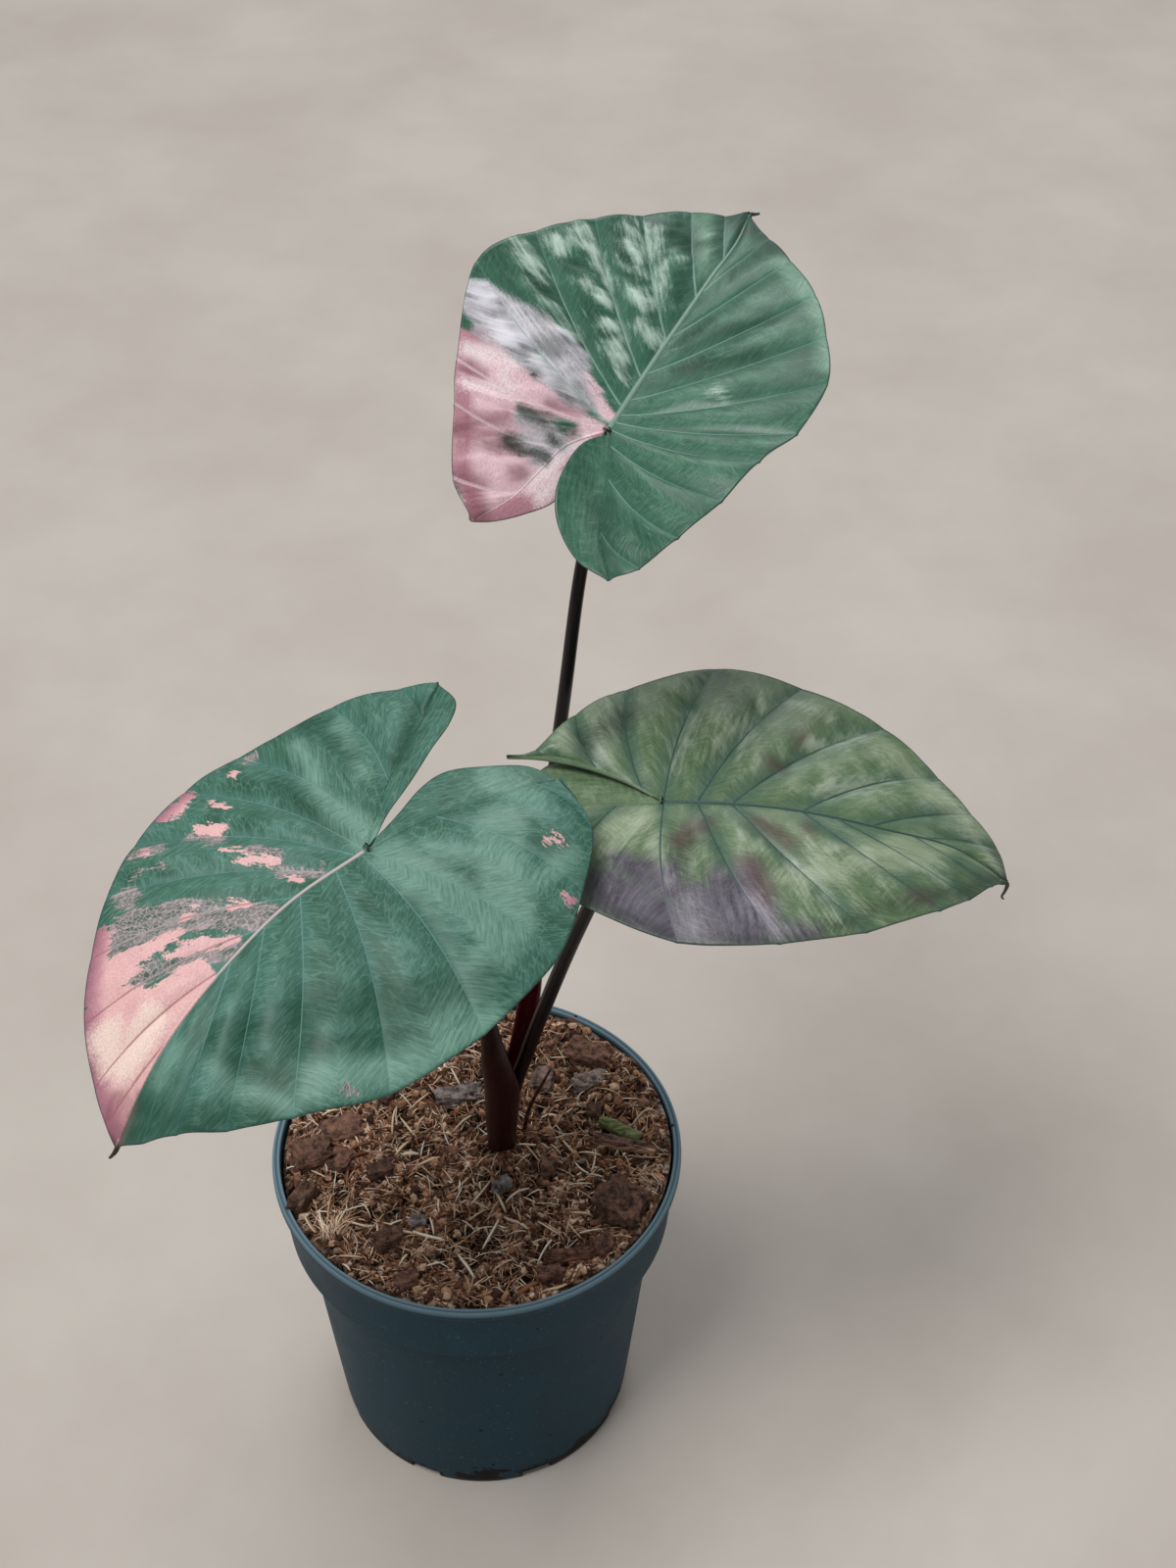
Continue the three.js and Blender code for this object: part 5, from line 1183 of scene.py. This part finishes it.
def leaf_skin(name, look, length):
    """The material of a blade. What is known at a place (depths in markings, distances to veins, noises) is
    summed in shares and eased from one range into another, and colours are laid over each other, each as
    far as the product of some of these measures."""
    # A living waxy leaf, grown: satin gloss over a fine net of veins, with sharp ragged edges where
    # pigment stops.
    material, tree, shader = surface(name + "_living_leaf", IOR=1.42, Coat_Weight=look["coat"],
                                     Coat_Roughness=0.28, Specular_IOR_Level=0.3)
    maps = {key: add(tree, "UVMap", uv_map=key) for key in ("plane", "course")}
    at = {key: add(tree, "Attribute", out=2, attribute_name=key)
          for key in (*MARKINGS[name], "vein", "rib", "margin", "along", "relief_shading", "ridge")}
    at["one"] = 1
    for key, (lie, across, along, detail, rough) in TISSUE.items():
        scaled = add(tree, "Mapping", {0: maps[lie], 3: (REACH / across, REACH / along, 1)})
        at[key] = add(tree, "TexNoise", {"Vector": scaled, "Scale": 1, "Detail": detail, "Roughness": rough})
    stirred = add(tree, "TexNoise", {"Vector": maps["course"], "Scale": 22, "Detail": 3}, out=1)
    stirred = add(tree, "Mix", {0: 0.018, 4: maps["course"], 5: stirred}, out=1, data_type="VECTOR")
    for key, (across, along, line) in NETS.items():
        scaled = add(tree, "Mapping", {0: stirred, 3: (REACH / across, REACH / along, 1)})
        cells = add(tree, "TexVoronoi", {"Vector": scaled, "Scale": 1}, feature="DISTANCE_TO_EDGE")
        at[key] = add(tree, "MapRange", {0: cells, 1: 0, 2: line, 3: 1, 4: 0}, **EASED)

    jag = look["jag"]
    soft = look["soft"]
    cracks = look["crackle"]
    rib_reach = look["rib_reach"]
    # Each measure: its shares of earlier ones, and where it is eased from and to.
    for key, shares, *ease in (
        ("off_rib", {"rib": 1}, 0.4, 6, 0.05, 1),
        ("torn", {"run": 7, "jag": jag, "grain": 2, "one": -4.5 - jag / 2}),
        ("ragged", {"torn": "off_rib"}),
        ("frayed", {"mottle": 6, "jag": 3, "grain": 3, "one": -6}),
        # The tissue is painted lighter on swollen crests and ridges and darker in the hollows, as light and
        # shade on the relief.
        ("tissue", {"cloud": 0.27, "streak": 0.23, "wrinkles": 0.2, "grain": 0.1, "relief_shading": 0.2,
                    "ridge": 0.14}),
        ("ashiness", {"run": 0.25, "mottle": 0.35, "wrinkles": 0.4}),
        ("inland", {"margin": 1}, 0, 8),
        ("ruddy", {"inland": 0.55, "mottle": 0.45}),
        # A band along each side vein: pale waxy bloom on the front and top leaves, painted shade in the
        # vein's hollow on the right leaf.
        ("bloomed", {"vein": 1}, 0.2, 3.4, 0.6, 0),
        ("patchy", {"mottle": 1}, 0.3, 0.6, 0.4, 1),
        # Bright strokes: paler tissue with painted highlights and sheen.
        ("brightened", {"bright": 1, "frayed": 1}, -3, 3),
        ("bright_streaks", {"streak": 1}, 0.3, 0.7, 0.28, 0.72),
        # Dark strokes: dark pigment spots with painted shade in hollows, under curled edges and on the
        # turned-down tip.
        ("darkened", {"dark": 1, "frayed": 1}, -4, 4),
        ("dark_streaks", {"streak": 1}, 0.3, 0.7, 0.68, 0.44),
        ("pink_seen", {"pink": 1, "ragged": 1}, -soft, soft),
        ("ash_seen", {"ash": 1, "ragged": 1}, -1.3 * soft, 1.3 * soft),
        ("cracked", {"grain": 1}, 0.3, 0.6, 0.3 * cracks, cracks),
        ("ash_veined", {"vein": 1}, 0.1, 0.4, 0.6, 0),
        ("creamy", {"cream": 1, "frayed": 1}, -2.5, 2.5),
        ("rose_spotted", {"rose": 1, "frayed": 1}, -2, 2),
        ("pink_veined", {"vein": 1}, 0.12, 0.42, 0.7, 0),
        ("grainy", {"grain": 1}, 0.3, 0.7, 0.86, 1.1),
        ("shaded", {"shade": 1, "frayed": 1}, -1.4, 1.4),
        ("stained", {"dark": 1, "frayed": 1}, -1.8, 1.8),
        ("pigmented", {"pink_seen": 0.86, "ash_seen": 0.5}),
        ("flushed", {"rose": 1, "frayed": 1}, -3.5, 3.5),
        ("off_pink", {"pink_seen": 1}, 0, 1, 0.7, 0),
        # Painted highlights: the gleam strokes, the ridges and the wrinkles are laid over with a pale
        # highlight colour.
        ("gleaming", {"gleam": 1, "frayed": 1}, -5, 2.5),
        ("glossy", {"ridge": 0.8, "wrinkles": 1.8, "gleaming": 0.75}, 1.05, 2.05),
        ("duller_on_pink", {"pink_seen": 1}, 0, 1, 1, 0.15),
        ("on_green", {"pink_seen": 1}, 0, 1, 1, 0),
        ("veined", {"vein": 1}, 0.06, 0.24, look["vein_share"], 0),
        ("fainter_at_margin", {"margin": 1}, 2, 30, 0.25, 1),
        ("ribbed", {"rib": 1}, 0.02, 0.1, 0.95, 0),
        ("rib_ended", {"along": 1}, rib_reach - 12, rib_reach, 1, 0),
        ("past_notch", {"along": 1}, -2, 1),
        ("rimmed", {"margin": 1}, 0.1, 0.45, 0.6, 0),
        ("tipped", {"along": 1}, length - 2.5, length + 0.5, 0, 0.9),
        ("roughness", {"streak": 1}, 0.3, 0.7, look["roughness"] - 0.06, look["roughness"] + 0.08),
        ("height", {"streak": 0.4, "cross_veins": 0.2, "grain": 0.2}),
    ):
        total = 0
        for part, share in shares.items():
            total = add(tree, "Math", {0: at[part], 1: at.get(share, share), 2: total},
                        operation="MULTIPLY_ADD")
        if ease:
            total = add(tree, "MapRange", {0: total, **dict(enumerate(ease, 1))}, **EASED)
        at[key] = total

    coats = {**look, "rim": LEAF_RIM, "lustre": look["gleam"], "grainy": at["grainy"]}
    low, high = look["ash_span"]
    for coat, measure, band in (
        ("skin", "tissue", ((0.34, look["deep"]), (0.5, look["green"]), (0.66, look["pale"]))),
        ("ashen", "ashiness", ((low, look["ash"]), (high, look["ash_pale"]))),
        ("rosy", "ruddy", ((0.2, look["edge"]), (0.5, look["pink_low"]), (0.8, look["pink"]))),
    ):
        coats[coat] = add(tree, "ValToRGB", {0: at[measure]}, stops=band)
    # Each layer: the coat that it lies on, what is laid on, and the measures whose product is its share.
    for coat, laid_on, *shares in (
        ("ashen", "ash_pale", "crackle", "cracked"), ("ashen", "ash_pale", "ash_veined"),
        ("rosy", "pink_high", "creamy", 0.9), ("rosy", "rose", "rose_spotted", 0.7),
        ("rosy", "pink_vein", "pink_veined"), ("rosy", "grainy", 1), ("lustre", "silver", "ash_seen"),
        ("skin", "bloom", "bloomed", "patchy"), ("skin", "bright", "brightened", "bright_streaks"),
        ("skin", "bright", "cross_veins", look["net"]), ("skin", "dark", "darkened", "dark_streaks"),
        ("skin", "ashen", "ash_seen"), ("skin", "rosy", "pink_seen"), ("skin", "ashen", "shaded", 0.85),
        ("skin", "dark", "stained", "pigmented"), ("skin", "rose", "flushed", "off_pink"),
        # The painted highlight, silvery over grey tissue and weaker on pink.
        ("skin", "lustre", "glossy", look["gloss"], "duller_on_pink"),
        ("skin", "vein", "veined", "fainter_at_margin", "on_green"),
        ("skin", "rib", "ribbed", "rib_ended", "past_notch"), ("skin", "rim", "rimmed"),
        ("skin", "tip", "tipped"),
    ):
        factor = 1
        for share in shares:
            factor = add(tree, "Math", {0: factor, 1: at.get(share, share)}, operation="MULTIPLY")
        how = "MULTIPLY" if laid_on == "grainy" else "MIX"
        coats[coat] = add(tree, "Mix", {0: factor, 6: coats[coat], 7: coats[laid_on]}, out=2,
                          data_type="RGBA", blend_type=how)
    relief = add(tree, "Bump", {"Height": at["height"], "Strength": 0.4, "Distance": 0.0004})
    wire(tree, shader, Base_Color=coats["skin"], Roughness=at["roughness"], Normal=relief)
    return material


def tail_rings(stations, sides=10, steps=6):
    """Rings of a thin round stalk through stations of place and radius."""
    t = np.linspace(0, len(stations) - 1, (len(stations) - 1) * steps + 1)
    course = through(stations, t)
    across, up = section_axes(path_slopes(stations, t))
    turn = np.linspace(0, 2 * np.pi, sides, endpoint=False)[None, :, None]
    radius = course[:, None, 3:4]
    return course[:, None, :3] + radius * (across[:, None] * np.cos(turn) + up[:, None] * np.sin(turn))


for seed, (name, leaf) in enumerate(LEAVES.items()):
    upper, triangles = upper_face(leaf, 100 + 10 * seed)
    x, y = upper[:, 0], upper[:, 1]
    length = leaf["midrib"][-1][0]
    taper = np.clip(1 - np.maximum(x, 0) / length, 0, 1)
    midrib = through(leaf["midrib"], np.linspace(0, len(leaf["midrib"]) - 1, 40))
    from_rib = np.hypot(y - np.interp(x, midrib[:, 0], midrib[:, 1]), np.minimum(x, 0))
    under_rib = 1.4 * taper * np.exp(-(from_rib / 1.8) ** 2) + 0.45 * np.exp(-(upper[:, 4] / 0.6) ** 2)
    thickness = (BLADE + under_rib) * np.clip(0.55 + upper[:, 5] / 3, 0, 1)
    solid, solid_faces = thickened(upper[:, :3], triangles, thickness)
    tip = np.array(leaf["midrib"][-1])
    tip_z = float(blade_height(leaf, tip[0], tip[1])) - 0.4
    before = tip - [2.5, 0.5]
    before_z = float(blade_height(leaf, before[0], before[1])) - 0.4
    stations = [(*before, before_z, 0.75), (*tip, tip_z, 0.7)]
    stations += [(tx, ty, tip_z + drop, 0.5 - 0.12 * n) for n, (tx, ty, drop) in enumerate(leaf["tail"])]
    rib_lines = [(midrib, leaf["rib"] * np.sqrt(np.clip(1 - midrib[:, 0] / length, 0.03, 1)))]
    for half in (leaf["left"], leaf["right"]):
        lobe_line = through(half["lobe"], np.linspace(0, len(half["lobe"]) - 1.15, 24))
        rib_lines.append((lobe_line, 0.5 * np.linspace(1, 0.25, 24)))
    pieces = [capped(tail_rings(stations))]
    for line, radius in rib_lines:
        line_z = blade_height(leaf, line[:, 0], line[:, 1]) + 0.3 * radius - radius + leaf["proud"]
        pieces.append(capped(tail_rings(np.column_stack([line, line_z, radius]), steps=3)))
    tail_points, (quads, caps) = joined(*pieces)
    tail_triangles = np.concatenate([as_triangles(quads), caps]) + len(solid)
    points = np.concatenate([solid, tail_points])
    along, across, out = leaf_axes(LEAF_PLACES[name])
    placed = points[:, :1] * along + points[:, 1:2] * across + points[:, 2:3] * out
    placed = placed + np.array(LEAF_PLACES[name]["junction"])
    tail_side = tail_points[:, 1] - np.interp(tail_points[:, 0], midrib[:, 0], midrib[:, 1])
    side = np.concatenate([np.tile(upper[:, 9] * from_rib, 2), tail_side])
    values = {key: marks(points[:, 0], points[:, 1], side, strokes)
              for key, strokes in MARKINGS[name].items()}
    for column, key, fill in ((3, "relief_shading", 0.5), (4, "vein", 9.0), (5, "margin", 9.0), (8, "ridge", 0.0)):
        values[key] = np.concatenate([upper[:, column], upper[:, column], np.full(len(tail_points), fill)])
    values["rib"] = np.concatenate([np.tile(np.maximum(from_rib, 0.3), 2), np.zeros(len(tail_points))])
    values["along"] = points[:, 0]
    course = np.concatenate([upper[:, 6:8], upper[:, 6:8], tail_points[:, :2]])
    material = leaf_skin(name, LEAF_COLOURS[name], length)
    blade = mesh_piece(name + "_leaf", placed, [np.concatenate([solid_faces, tail_triangles])], material,
                       values=values, maps={"plane": points[:, :2] / REACH, "course": course / REACH})
    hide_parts(name + "_blade")
    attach(blade, "root")


# The wisp beside the foot is what is left of an older leaf's sheath, withered to a brown thread.
DRY_SHEATH = ((16, 8, 116, 0.75), (16, 8, 124, 0.75), (18, 8.5, 136, 0.7), (22, 8.6, 147, 0.55),
              (25.2, 9, 155, 0.35))
wisp_points, wisp_faces = capped(tail_rings(DRY_SHEATH, sides=12))
# Withered sheath: brown papery tissue, dull, frayed in darker and paler threads.
withered, tree, shader = surface("withered_sheath", Roughness=0.75, Specular_IOR_Level=0.3)
fray = add(tree, "TexNoise", {"Vector": add(tree, "TexCoord", out=3), "Scale": 700, "Detail": 4})
brown = add(tree, "ValToRGB", {0: fray}, stops=((0.35, "#2b120d"), (0.6, "#5a2a1c"), (0.8, "#8a5a3a")))
wire(tree, shader, Base_Color=brown)
wisp = mesh_piece("withered_wisp", wisp_points, wisp_faces, withered)
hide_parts("dry_sheath")
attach(wisp, "root")
